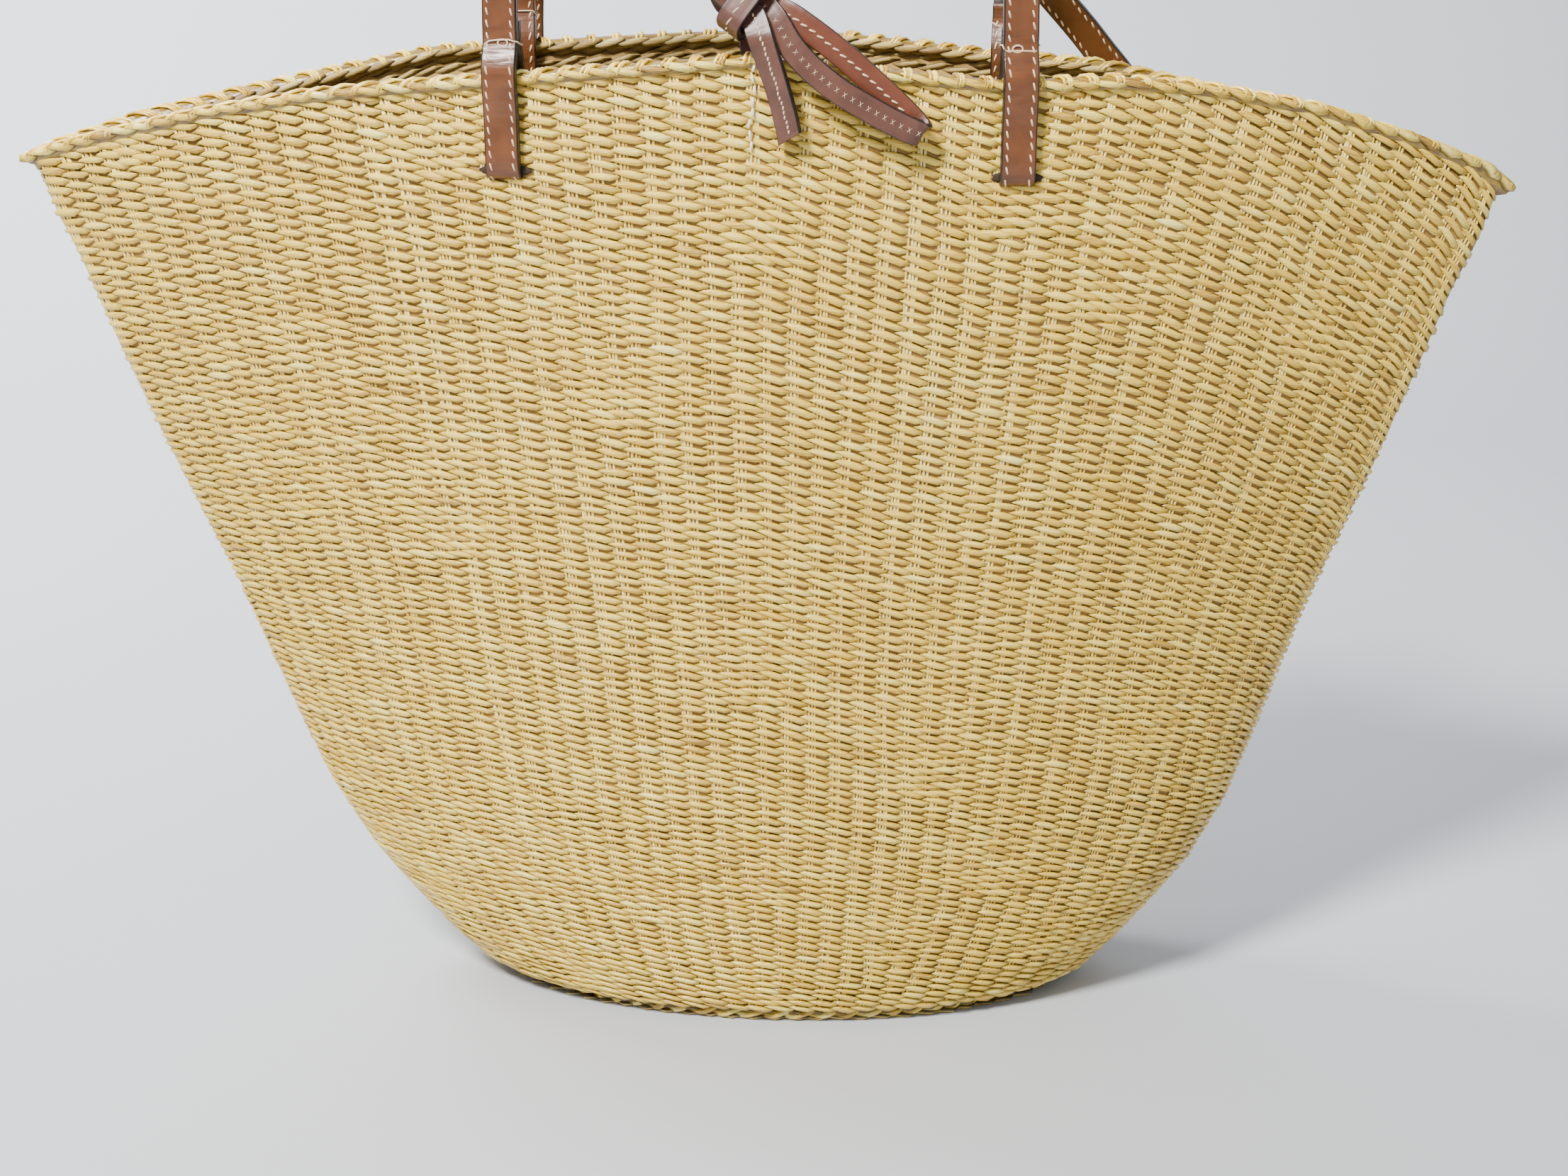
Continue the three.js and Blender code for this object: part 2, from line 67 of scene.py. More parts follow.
camera_data = bpy.data.cameras.new("camera")
camera_data.lens = LENS
camera_data.sensor_width = 36.0
camera_data.clip_start = 0.05
camera = bpy.data.objects.new("camera", camera_data)
ahead = Vector((-math.sin(EYE_TURN), math.cos(EYE_TURN), 0.0))
aside = Vector((math.cos(EYE_TURN), math.sin(EYE_TURN), 0.0))
camera.location = -EYE_AWAY * ahead + EYE_ASIDE * aside + Vector((0.0, 0.0, EYE_HIGH))
camera.rotation_euler = (math.pi / 2 - EYE_TILT, 0.0, EYE_TURN)
bpy.context.scene.collection.objects.link(camera)
bpy.context.scene.camera = camera


def lamp(name, place, aim, size, power, color):
    data = bpy.data.lights.new(name, "AREA")
    data.shape = "DISK"
    data.size = size
    data.energy = power
    data.color = color
    holder = bpy.data.objects.new(name, data)
    holder.location = place
    holder.rotation_euler = (Vector(aim) - Vector(place)).to_track_quat("-Z", "Y").to_euler()
    bpy.context.scene.collection.objects.link(holder)


lamp("window_lamp", (-0.66, -1.15, 1.8), (-0.02, 0.0, 0.2), 0.45, 110.0, (1.0, 0.98, 0.95))
lamp("fill_lamp", (1.5, -1.1, 1.0), (0.0, 0.0, 0.2), 1.2, 1.5, (0.94, 0.97, 1.0))
lamp("back_lamp", (-0.9, 0.4, 1.2), (-0.6, 1.3, 0.5), 0.6, 55.0, (0.97, 0.98, 1.0))

world = bpy.data.worlds.new("studio_air")
world.use_nodes = True
world.node_tree.nodes["Background"].inputs["Color"].default_value = (0.86, 0.9, 0.96, 1.0)
world.node_tree.nodes["Background"].inputs["Strength"].default_value = 0.7
bpy.context.scene.world = world


def new_material(name):
    material = bpy.data.materials.new(name)
    material.use_nodes = True
    return material, material.node_tree, material.node_tree.nodes["Principled BSDF"]


def linked(tree, kind, values, **sockets):
    node = tree.nodes.new(kind)
    for key, value in values.items():
        setattr(node, key, value)
    for key, value in sockets.items():
        socket = node.inputs[int(key[1:]) if key.startswith("i") else key.replace("_", " ")]
        if isinstance(value, bpy.types.NodeSocket):
            tree.links.new(value, socket)
        else:
            socket.default_value = value
    return node


table_finish, _, table_shader = new_material("pale_table")
table_shader.inputs["Base Color"].default_value = (0.455, 0.472, 0.502, 1.0)
table_shader.inputs["Roughness"].default_value = 0.8

TABLE_WIDE, TABLE_FRONT, TABLE_BACK = 6.0, -2.0, 0.8
TABLE_BEND, TABLE_RISE = 0.5, 2.0


def moved_out(table, edges, vec):
    swept = bmesh.ops.extrude_edge_only(table, edges=edges)
    ends = [part for part in swept["geom"] if isinstance(part, bmesh.types.BMVert)]
    bmesh.ops.translate(table, vec=vec, verts=ends)


table = bmesh.new()
ends = [table.verts.new((-TABLE_WIDE / 2, y, 0.0)) for y in (TABLE_FRONT, TABLE_BACK)]
moved_out(table, [table.edges.new(ends)], (TABLE_WIDE, 0.0, 0.0))
back = [e for e in table.edges if all(abs(v.co.y - TABLE_BACK) < 1e-6 for v in e.verts)]
bmesh.ops.spin(
    table, geom=back + list(back[0].verts), cent=(0.0, TABLE_BACK, TABLE_BEND), axis=(1.0, 0.0, 0.0),
    angle=math.pi / 2, steps=12,
)
top = [e for e in table.edges if all(v.co.z > TABLE_BEND - 1e-6 for v in e.verts)]
moved_out(table, top, (0.0, 0.0, TABLE_RISE))
bmesh.ops.recalc_face_normals(table, faces=table.faces)
table_mesh = bpy.data.meshes.new("table_top")
table.to_mesh(table_mesh)
table.free()
table_mesh.polygons.foreach_set("use_smooth", [True] * len(table_mesh.polygons))
table_mesh.materials.append(table_finish)
table_top = bpy.data.objects.new("table_top", table_mesh)
bpy.context.scene.collection.objects.link(table_top)
table_top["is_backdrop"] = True

# The woven wall: twined straw, in one piece with the floor. Its shape is that of the solid
# basket_shell: level loops from the base to the rim, which turn from an oval into two arcs.
MOUTH_WIDTH, BASE_WIDTH, LEAN = 0.506, 0.198, 0.009
BASE_DEPTH, BELLY_DEPTH, MOUTH_DEPTH = 0.094, 0.116, 0.088
HEIGHT, END_DROP = 0.345, 0.045
WALL, END_SEAM, GAP = 0.0036, 0.010, 0.0003
RIM_TALL, RIM_THICK = 0.006, 0.0064
RING_WIDE, RING_TALL = 0.0066, 0.0054

OUTLINE = np.array([
    # up, spread, belly, drawn, lens
    (0.0, 0.0, 0.0, 0.0, 0.0),
    (0.03, 0.118, 0.3, 0.0, 0.0),
    (0.065, 0.188, 0.52, 0.0, 0.03),
    (0.115, 0.274, 0.72, 0.0, 0.08),
    (0.17, 0.36, 0.86, 0.0, 0.15),
    (0.25, 0.447, 0.97, 0.0, 0.26),
    (0.34, 0.515, 1.0, 0.02, 0.4),
    (0.5, 0.625, 1.0, 0.16, 0.6),
    (0.67, 0.763, 1.0, 0.42, 0.74),
    (0.8, 0.858, 1.0, 0.66, 0.82),
    (0.9, 0.925, 1.0, 0.84, 0.86),
    (0.96, 0.976, 1.0, 0.94, 0.88),
    (1.0, 1.0, 1.0, 1.0, 0.9),
]).T
RIM_LINE = np.array([
    # along, front left, front right, rear left, rear right
    (0.0, 0.0, 0.0, 0.0, 0.0),
    (0.12, 0.055, 0.07, 0.02, 0.02),
    (0.33, 0.16, 0.18, 0.08, 0.145),
    (0.47, 0.23, 0.155, 0.12, 0.2),
    (0.59, 0.31, 0.215, 0.255, 0.33),
    (0.73, 0.455, 0.365, 0.415, 0.465),
    (0.86, 0.63, 0.6, 0.58, 0.665),
    (0.96, 0.78, 0.82, 0.76, 0.845),
    (1.0, 0.86, 1.0, 0.86, 1.0),
]).T


def plan(up):
    spread, belly, drawn, lens = (np.interp(up, OUTLINE[0], row) for row in OUTLINE[1:])
    half = (BASE_WIDTH + (MOUTH_WIDTH - BASE_WIDTH) * spread) / 2
    deep = (BASE_DEPTH + (BELLY_DEPTH - BASE_DEPTH) * belly - (BELLY_DEPTH - MOUTH_DEPTH) * drawn) / 2
    return half, deep, lens


def lean_at(up):
    return LEAN * np.clip(1 - np.asarray(up), 0.0, 1.0) ** 1.6


def rim_top(along, side):
    along = np.clip(along, -1.0, 1.0)
    lines = [np.interp(np.abs(along), RIM_LINE[0], row) for row in RIM_LINE[1:]]
    front = np.where(along < 0, lines[0], lines[1])
    rear = np.where(along < 0, lines[2], lines[3])
    return HEIGHT - END_DROP * np.where(side < 0, front, rear)


def wall_top(along, side):
    return rim_top(along, side) - RIM_TALL - GAP


def at_angle(angle, up, inward):
    half, deep, lens = plan(up)
    a = half - END_SEAM * inward * (0.45 + 0.55 * lens)
    b = deep - WALL * inward
    along, side = np.cos(angle), np.sign(np.sin(angle))
    y = side * b * np.abs(np.sin(angle)) ** (1 + lens)
    return np.stack([a * along + lean_at(up), y, up * wall_top(along, side)], axis=-1)


# The way round is counted in equal steps of straw, so that stakes keep their spacing.
ROUND_STEPS, UP_STEPS = 1441, 61
angles = np.linspace(0.0, 2 * math.pi, ROUND_STEPS)
ups = np.linspace(0.0, 1.0, UP_STEPS)
angle_of_share = np.zeros((UP_STEPS, ROUND_STEPS))
girths = np.zeros(UP_STEPS)
for row, up in enumerate(ups):
    loop = at_angle(angles, np.full(ROUND_STEPS, up), 0.5)
    run = np.concatenate([[0.0], np.cumsum(np.linalg.norm(np.diff(loop, axis=0), axis=1))])
    girths[row] = run[-1]
    angle_of_share[row] = np.interp(np.linspace(0.0, 1.0, ROUND_STEPS), run / run[-1], angles)


def wall_point(share, up, inward):
    turn = np.floor(share)
    place = (share - turn) * (ROUND_STEPS - 1)
    low = np.minimum(place.astype(int), ROUND_STEPS - 2)
    level = np.clip(up, 0.0, 1.0) * (UP_STEPS - 1)
    floor = np.minimum(level.astype(int), UP_STEPS - 2)
    p, q = place - low, level - floor
    under = angle_of_share[floor, low] * (1 - p) + angle_of_share[floor, low + 1] * p
    over = angle_of_share[floor + 1, low] * (1 - p) + angle_of_share[floor + 1, low + 1] * p
    return at_angle(under * (1 - q) + over * q, up, inward)


def wall_frame(share, up, inward):
    here = wall_point(share, up, inward)
    sideways = wall_point(share + 0.0015, up, inward) - wall_point(share - 0.0015, up, inward)
    upwards = wall_point(share, up + 0.004, inward) - wall_point(share, up - 0.004, inward)
    normal = np.cross(sideways, upwards)
    return here, normal / np.linalg.norm(normal, axis=-1, keepdims=True)


# Sheet of faces moved to where place(u, v) puts its points; edges that meet are welded and
# open ends closed. tint(u, v) gives two colour channels, run(u, v) the places on the UV map.
def surface(name, u_steps, v_steps, place, tint, run, finish):
    body = bmesh.new()
    bmesh.ops.create_grid(body, x_segments=u_steps, y_segments=v_steps, size=0.5)
    flat = np.array([v.co[:] for v in body.verts])
    u, v = flat[:, 0] + 0.5, flat[:, 1] + 0.5
    body.verts.index_update()
    layer = body.loops.layers.uv.new("run")
    us, vs = run(u, v)
    for face in body.faces:
        for corner in face.loops:
            corner[layer].uv = (us[corner.vert.index], vs[corner.vert.index])
    tints = body.verts.layers.float_color.new("tint")
    points = place(u, v)
    for vert, point, first, second in zip(body.verts, points, *tint(u, v)):
        vert[tints] = (first, second, 0.0, 1.0)
        vert.co = point
    bmesh.ops.remove_doubles(body, verts=body.verts, dist=1e-6)
    bmesh.ops.holes_fill(body, edges=[e for e in body.edges if e.is_boundary])
    bmesh.ops.recalc_face_normals(body, faces=body.faces)
    mesh = bpy.data.meshes.new(name)
    body.to_mesh(mesh)
    body.free()
    mesh.polygons.foreach_set("use_smooth", [True] * len(mesh.polygons))
    mesh.materials.append(finish)
    return placed(name, mesh)


def placed(name, mesh):
    piece = bpy.data.objects.new(name, mesh)
    bpy.context.scene.collection.objects.link(piece)
    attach(piece, "root")
    return piece


# One mesh of many small closed tubes. points: tube, station along it, corner round it, xyz.
def joined(name, points, finish, tones, shade=1.0, along=None, across=None, ring=False):
    count, stations, around, _ = points.shape
    spot = (count, stations, around)
    if along is None:
        along = np.linspace(0.0, 3.0, stations)[None, :, None]
    if across is None:
        across = np.linspace(0.0, 3.0, around)[None, None, :]
    layers = [np.broadcast_to(part, spot) for part in (shade, along, across)]
    here = points[:, stations // 2]
    spin = np.cross(here, np.roll(here, -1, axis=1)).sum(axis=1)
    way = (points[:, (stations // 2 + 1) % stations] - points[:, stations // 2 - 1]).mean(axis=1)
    if (spin * way).sum() < 0:
        points = points[:, :, ::-1]
        layers = [part[:, :, ::-1] for part in layers]
    shade, along, across = layers
    spans = stations if ring else stations - 1
    station, corner = np.meshgrid(np.arange(spans), np.arange(around), indexing="ij")
    after, beside = (station + 1) % stations, (corner + 1) % around
    quads = np.stack([station * around + corner, station * around + beside,
                      after * around + beside, after * around + corner], axis=-1).reshape(-1, 4)
    offsets = np.arange(count)[:, None, None] * stations * around
    parts = [(quads[None] + offsets).reshape(-1, 4)]
    if not ring:
        ends = np.array([np.arange(around)[::-1], (stations - 1) * around + np.arange(around)])
        parts.append((ends[None] + offsets).reshape(-1, around))
    corners = np.concatenate([part.ravel() for part in parts])
    starts = np.concatenate([[0]] + [np.full(len(part), part.shape[1]) for part in parts])[:-1].cumsum()
    mesh = bpy.data.meshes.new(name)
    mesh.vertices.add(count * stations * around)
    mesh.vertices.foreach_set("co", points.ravel())
    mesh.loops.add(len(corners))
    mesh.loops.foreach_set("vertex_index", corners)
    mesh.polygons.add(len(starts))
    mesh.polygons.foreach_set("loop_start", starts)
    mesh.polygons.foreach_set("use_smooth", np.ones(len(starts), bool))
    mesh.update(calc_edges=True)
    color = np.ones(spot + (4,))
    color[..., 0] = tones[:, None, None]
    color[..., 1] = shade
    mesh.color_attributes.new("tint", "FLOAT_COLOR", "POINT").data.foreach_set("color", color.ravel())
    uv = np.stack([along + rng.uniform(0, 90, count)[:, None, None],
                   across + rng.uniform(0, 90, count)[:, None, None]], axis=-1).reshape(-1, 2)
    mesh.uv_layers.new(name="run").data.foreach_set("uv", uv[corners].ravel())
    mesh.validate()
    mesh.materials.append(finish)
    return placed(name, mesh)


# Straw: flat split grass, pale gold to tan. tint holds each strand's own tone (red) and how much
# light its place gets (green); the fine fibres run along its UV map.
def new_group(name, inputs, outputs):
    tree = bpy.data.node_groups.new(name, "ShaderNodeTree")
    for sockets, way in ((inputs, "INPUT"), (outputs, "OUTPUT")):
        for label, kind in sockets.items():
            tree.interface.new_socket(label, in_out=way, socket_type="NodeSocket" + kind)
    return tree, tree.nodes.new("NodeGroupInput").outputs, tree.nodes.new("NodeGroupOutput").inputs


# Fine fibres along a strand: its tone made streaky, and their relief.
straw_fibres, taken, given = new_group(
    "straw_fibres", {"Place": "Vector", "Tone": "Float"}, {"Tone": "Float", "Relief": "Float"})
fibres = linked(straw_fibres, "ShaderNodeTexNoise", {}, Vector=taken["Place"], Scale=1.0, Detail=4.0,
                Roughness=0.6)
streak = linked(straw_fibres, "ShaderNodeMapRange", {}, Value=fibres.outputs["Fac"], From_Min=0.3,
                From_Max=0.7, To_Min=-0.36, To_Max=0.36)
mixed = linked(straw_fibres, "ShaderNodeMath", {"operation": "ADD"}, i0=taken["Tone"],
               i1=streak.outputs["Result"])
straw_fibres.links.new(mixed.outputs[0], given["Tone"])
straw_fibres.links.new(fibres.outputs["Fac"], given["Relief"])


def straw_material(name, colors, roughness):
    material, tree, shader = new_material(name)
    tint = linked(tree, "ShaderNodeVertexColor", {"layer_name": "tint"})
    split = linked(tree, "ShaderNodeSeparateColor", {}, Color=tint.outputs["Color"])
    uv = linked(tree, "ShaderNodeUVMap", {"uv_map": "run"})
    fibres = linked(tree, "ShaderNodeGroup", {"node_tree": straw_fibres}, Place=uv.outputs["UV"],
                    Tone=split.outputs["Red"])
    ramp = linked(tree, "ShaderNodeValToRGB", {}, Fac=fibres.outputs["Tone"])
    places = (0.0, 0.35, 0.7, 1.0)
    ramp.color_ramp.elements[1].position = places[-1]
    for position in places[1:-1]:
        ramp.color_ramp.elements.new(position)
    for element, color in zip(ramp.color_ramp.elements, colors):
        element.color = color + (1.0,)
    # Painted light: the green tint darkens the straw's colour where its place gets less light.
    painted_light = linked(tree, "ShaderNodeMapRange", {}, Value=split.outputs["Green"], To_Min=0.1, To_Max=1.0)
    shade = linked(tree, "ShaderNodeMix", {"data_type": "RGBA", "blend_type": "MULTIPLY"}, Factor=1.0,
                   A=ramp.outputs["Color"], B=painted_light.outputs["Result"])
    tree.links.new(shade.outputs["Result"], shader.inputs["Base Color"])
    bump = linked(tree, "ShaderNodeBump", {}, Strength=0.7, Distance=0.0004,
                  Height=fibres.outputs["Relief"])
    tree.links.new(bump.outputs["Normal"], shader.inputs["Normal"])
    shader.inputs["Roughness"].default_value = roughness
    shader.inputs["Specular IOR Level"].default_value = 0.8
    return material


straw = straw_material(
    "straw", ((0.26, 0.125, 0.01), (0.73, 0.44, 0.03), (0.95, 0.66, 0.075), (1.0, 0.87, 0.26)), 0.22)
# A darker, duller copy of the straw for the inside walls, the inner floor and the inner rim: painted shade of
# the inside.
shaded_inner_straw = straw_material(
    "shaded_inner_straw", ((0.20, 0.11, 0.015), (0.42, 0.26, 0.04), (0.58, 0.40, 0.09), (0.72, 0.56, 0.2)), 0.55)
stake_straw = straw_material(
    "stake_straw", ((0.42, 0.24, 0.03), (0.76, 0.50, 0.08), (0.95, 0.71, 0.17), (1.0, 0.87, 0.36)), 0.4)

# A dark sheet between the two layers of weft, its brown a painted shade for the gaps of the weave,
# seen only through them. It runs up the outside, over the top, down the inside and in across the floor.
core_shade_straw, _, core_shade_shader = new_material("core_shade_straw")
core_shade_shader.inputs["Base Color"].default_value = (0.34, 0.20, 0.05, 1.0)
core_shade_shader.inputs["Roughness"].default_value = 0.8
CORE_ROUND, CORE_UP = 200, 44
base_middle = np.array([LEAN, 0.0])
FLOOR_HIGH, UNDER_HIGH = 0.003, 0.0006


def core_place(u, v):
    stage = v * 4.0
    up = np.select([stage < 0.4, stage < 2.0, stage < 2.2, stage < 3.6], [
        np.full_like(v, 0.02), 0.02 + (stage - 0.4) / 1.6 * 0.985, np.full_like(v, 1.005),
        1.005 - (stage - 2.2) / 1.4 * 0.975,
    ], 0.03)
    over_top = 0.36 + (stage - 2.0) / 0.2 * 0.3
    inward = np.select([stage < 2.0, stage < 2.2], [np.full_like(v, 0.36), over_top], 0.66)
    points = wall_point(u, up, inward)
    under = np.clip(1.0 - stage / 0.4, 0.0, 1.0)
    inner = np.clip((stage - 3.6) / 0.4, 0.0, 1.0)
    points[:, :2] = base_middle + (points[:, :2] - base_middle) * (1.0 - np.maximum(under, inner))[:, None]
    for part, high in ((under, UNDER_HIGH), (inner, FLOOR_HIGH)):
        sunk = high + (points[:, 2] - high) * (1 - part) ** 2
        points[:, 2] = np.where(part > 0, sunk, points[:, 2])
    return points


core = surface("woven_core", CORE_ROUND, CORE_UP, core_place, lambda u, v: (u, v), lambda u, v: (u, v),
               core_shade_straw)
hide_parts("basket_shell")

# The stakes: bundles of thin split stems that run up the wall, seen as pale beads between the
# rows of weft. More are added in the widest gaps as the basket widens.
SPACING_AT, SPACING = (0.0, 0.3, 0.65, 1.0), (0.0076, 0.0080, 0.0088, 0.0088)
ROW_AT, ROW_TALL = (0.0, 0.5, 0.75, 1.0), (0.0028, 0.0031, 0.0035, 0.0039)
WALL_RUN = 0.338

row_ups = [0.02]
while row_ups[-1] < 0.999:
    row_ups.append(row_ups[-1] + np.interp(row_ups[-1], ROW_AT, ROW_TALL) / WALL_RUN)
row_ups = np.array(row_ups)
row_tall = np.gradient(row_ups)

first_count = int(round(np.interp(row_ups[0], ups, girths) / SPACING[0]))
stakes = (np.arange(first_count) + 0.5) / first_count
labels = np.arange(first_count)
rows = []
tracks = [[] for _ in stakes]
for row, up in enumerate(row_ups):
    wanted = int(round(np.interp(up, ups, girths) / np.interp(up, SPACING_AT, SPACING)))
    while len(stakes) < wanted:
        gaps = np.diff(np.append(stakes, stakes[0] + 1.0)) * rng.uniform(0.8, 1.2, len(stakes))
        widest = int(np.argmax(gaps))
        after = stakes[widest + 1] if widest + 1 < len(stakes) else stakes[0] + 1.0
        stakes = np.insert(stakes, widest + 1, (stakes[widest] + after) / 2)
        labels = np.insert(labels, widest + 1, len(tracks))
        tracks.append([])
    for _ in range(3):
        left = np.append(stakes[-1] - 1.0, stakes[:-1])
        right = np.append(stakes[1:], stakes[0] + 1.0)
        stakes = stakes + 0.25 * ((left + right) / 2 - stakes)
    rows.append(stakes)
    for label, share in zip(labels, stakes):
        tracks[label].append((share, up, 1.0 / len(stakes)))

STEM_PLACES = np.array([-0.52, -0.38, -0.25, -0.12])
STEM_SIDES = np.array([(-1.0, 0.0), (-0.5, 1.0), (0.5, 1.0), (1.0, 0.0)])
for side, name in ((0, "stakes_rear"), (1, "stakes_front")):
    tubes = []
    for track in tracks:
        track = np.array(track)
        if len(track) < 3 or int(np.floor(np.mean(track[:, 0]) * 2)) % 2 != side:
            continue
        steps = np.linspace(0, len(track) - 1, 22)
        share, up, gap = (np.interp(steps, np.arange(len(track)), track[:, k]) for k in range(3))
        for place in STEM_PLACES:
            wide = rng.uniform(0.056, 0.072)
            run = place + rng.normal(0, 0.015) + 0.03 * np.sin(steps * 0.7 + rng.uniform(0, 6))
            lift = rng.uniform(0.0, 0.0002)
            at = share[:, None] + (run[:, None] + STEM_SIDES[None, :, 0] * wide) * gap[:, None]
            here, normal = wall_frame(at, np.repeat(up[:, None], 4, axis=1), np.full_like(at, 0.4))
            tubes.append(here + normal * (lift + STEM_SIDES[None, :, 1:2] * 0.0005))
    tubes = np.array(tubes)
    # Painted shade: each stem is darker along its two sides, where it lies against the wall.
    joined(name, tubes, stake_straw, rng.beta(2.6, 1.6, len(tubes)),
           np.array([0.55, 1.0, 1.0, 0.55]), np.linspace(0, 60, 22)[None, :, None], np.arange(4.0) * 2)

# The weft: a pair of flat strands twined row by row round the stakes. Each turn shows as a long
# leaf of straw that leans down to the right, its ends tucked beside its neighbours'.
row_of = np.concatenate([np.full(len(r), i) for i, r in enumerate(rows)])
share_of = np.concatenate(rows)
gap_of = np.concatenate([np.full(len(r), 1.0 / len(r)) for r in rows])
LEAF_LENGTH = 0.74
LEAF = np.array([
    # along, upper edge, lower edge, height, painted light (darker at the tucked tips)
    (-1.0, 0.30, 0.12, 0.7, 0.45),
    (-0.76, 0.46, -0.02, 0.95, 0.85),
    (-0.4, 0.48, -0.30, 1.0, 1.0),
    (0.0, 0.36, -0.50, 1.0, 1.0),
    (0.4, 0.14, -0.70, 0.95, 0.85),
    (0.76, -0.08, -0.56, 0.75, 0.6),
    (1.0, -0.24, -0.34, 0.35, 0.25),
])
LEAF_SECTION = np.array([
    # from the lower edge (0) to the upper one (1), height, painted light (dark lines along the edges)
    (0.0, -0.1, 0.0),
    (0.14, 0.86, 0.9),
    (0.82, 1.0, 1.0),
    (1.0, 0.0, 0.15),
])


# Corners of leaves as places along (in stakes), up (in rows) and out from the wall, with the painted shade at
# each: darker at the tips and along the edges.
def leaves(count, bulge, dip, pick=slice(None), section=slice(None)):
    s, upper, lower, height, light = (LEAF[pick, k][None, :, None] for k in range(5))
    vary = lambda low, high: rng.uniform(low, high, count)[:, None, None]
    edge, face, section_light = (LEAF_SECTION[section, k][None, None, :] for k in range(3))
    across = (lower + (upper - lower) * edge) * vary(0.84, 1.1)
    run = s * LEAF_LENGTH * vary(0.94, 1.07) + across * 0.06 + vary(-0.05, 0.05)
    rise = across + s * vary(-0.12, 0.1) + vary(-0.06, 0.06)
    out = -dip + (dip + bulge) * height * (0.3 + 0.7 * face)
    out = out + vary(-1, 1) * 0.5 * bulge * height * (edge - 0.5) + bulge * vary(-0.15, 0.15)
    return run, rise, out, np.broadcast_to(light * section_light, run.shape)


def weft(name, picked, bulge, dip, inward, facing, finish, pick=slice(None), section=slice(None)):
    run, rise, out, shade = leaves(len(picked), bulge, dip, pick, section)
    share = share_of[picked][:, None, None] + run * gap_of[picked][:, None, None]
    up = row_ups[row_of[picked]][:, None, None] + rise * row_tall[row_of[picked]][:, None, None]
    here, normal = wall_frame(share, up, np.full_like(share, inward))
    points = here + normal * (out * facing)[..., None]
    tones = rng.normal(0.55, 0.11, len(picked))
    joined(name, points, finish, tones, shade, run * 0.9, rise * 13.0)


# Where a handle strap goes through the wall no leaf is left across the slit.
LEGS = ((-1, -0.0795), (-1, 0.0865), (1, -0.086), (1, 0.086))  # side, x
STRAP_WIDE, STRAP_THICK = 0.0114, 0.003
SLIT_DROP, SLIT_SPARE, SLIT_HALF = 0.033, 0.0012, 0.0024
centres = wall_point(share_of, row_ups[row_of], np.full(len(share_of), 0.3))
rim_over = rim_top(centres[:, 0] / (MOUTH_WIDTH / 2), np.sign(centres[:, 1]))
near_leg = [(centres[:, 1] * side > 0) & (np.abs(centres[:, 0] - x) < STRAP_WIDE / 2 + SLIT_SPARE)
            for side, x in LEGS]
in_slit = np.any(near_leg, axis=0) & (np.abs(centres[:, 2] - (rim_over - SLIT_DROP + 0.0018)) < SLIT_HALF)
half_of = np.floor(share_of * 2).astype(int) % 2
for half, name in ((1, "front"), (0, "rear")):
    for part, low, high in (("low", 0.0, 0.5), ("high", 0.5, 2.0)):
        within = (half_of == half) & ~in_slit & (row_ups[row_of] >= low) & (row_ups[row_of] < high)
        picked = np.flatnonzero(within)
        weft(f"weft_{name}_{part}", picked, 0.0012, 0.0009, 0.34, 1.0, straw,
             slice(None) if name == "front" else [0, 2, 4, 6])
        weft(f"inner_weft_{name}_{part}", picked, 0.0011, 0.0008, 0.70, -1.0, shaded_inner_straw,
             [0, 2, 4, 6], [0, 2, 3])

# The floor: the same twining in shrinking ovals, inside and under the bag.
FLOOR_ROW = 0.0036
for name, high, facing, finish in (
        ("floor_inside", FLOOR_HIGH, 1.0, shaded_inner_straw), ("floor_under", 0.0013, -1.0, straw)):
    parts = []
    for ring in range(1, 12):
        scale = 1.0 - ring * FLOOR_ROW / (BASE_DEPTH / 2)
        around = max(6, int(round(girths[1] * scale / SPACING[0])))
        run, rise, out, shade = leaves(around, 0.0010, 0.0004, [0, 2, 4, 6])
        share = ((np.arange(around) + 0.5) / around)[:, None, None] + run / around
        size = scale - rise * FLOOR_ROW / (BASE_DEPTH / 2)
        points = wall_point(share, np.full_like(share, 0.02), np.full_like(share, 0.5))
        points[..., :2] = base_middle + (points[..., :2] - base_middle) * np.maximum(size, 0.0)[..., None]
        points[..., 2] = high + facing * np.minimum(out, 0.0011)
        parts.append((points, run, rise, shade))
    points, run, rise, shade = (np.concatenate(group) for group in zip(*parts))
    tones = rng.normal(0.5, 0.11, len(points))
    joined(name, points, finish, tones, shade, run * 0.9, rise * 13.0)

# The rim: the last row of leaves lies along the outside of the rolled border and another along
# its inside, and at the left end of each leaf two or three stake ends curl over the top.
RIM_PITCH = 0.0084
rim_count = int(round(girths[-1] / RIM_PITCH))
rim_share = ((np.arange(rim_count) + 0.5) / rim_count)[:, None]
RIM_ROW = 0.24  # how much of the turn over the border a row of leaves takes


# A place on the border: share round the mouth, and turn over its section, from 0 low on the
# outside over the top (0.5) to 1 low on the inside. big scales the section.
def rim_place(share, turn, big):
    angle = (turn - 0.5) * 1.55 * math.pi
    points = wall_point(share, np.ones_like(share), 0.5 + np.sin(angle) * big * RIM_THICK / WALL / 2)
    points[..., 2] += GAP + RIM_TALL / 2 + np.cos(angle) * big * RIM_TALL / 2
    return points


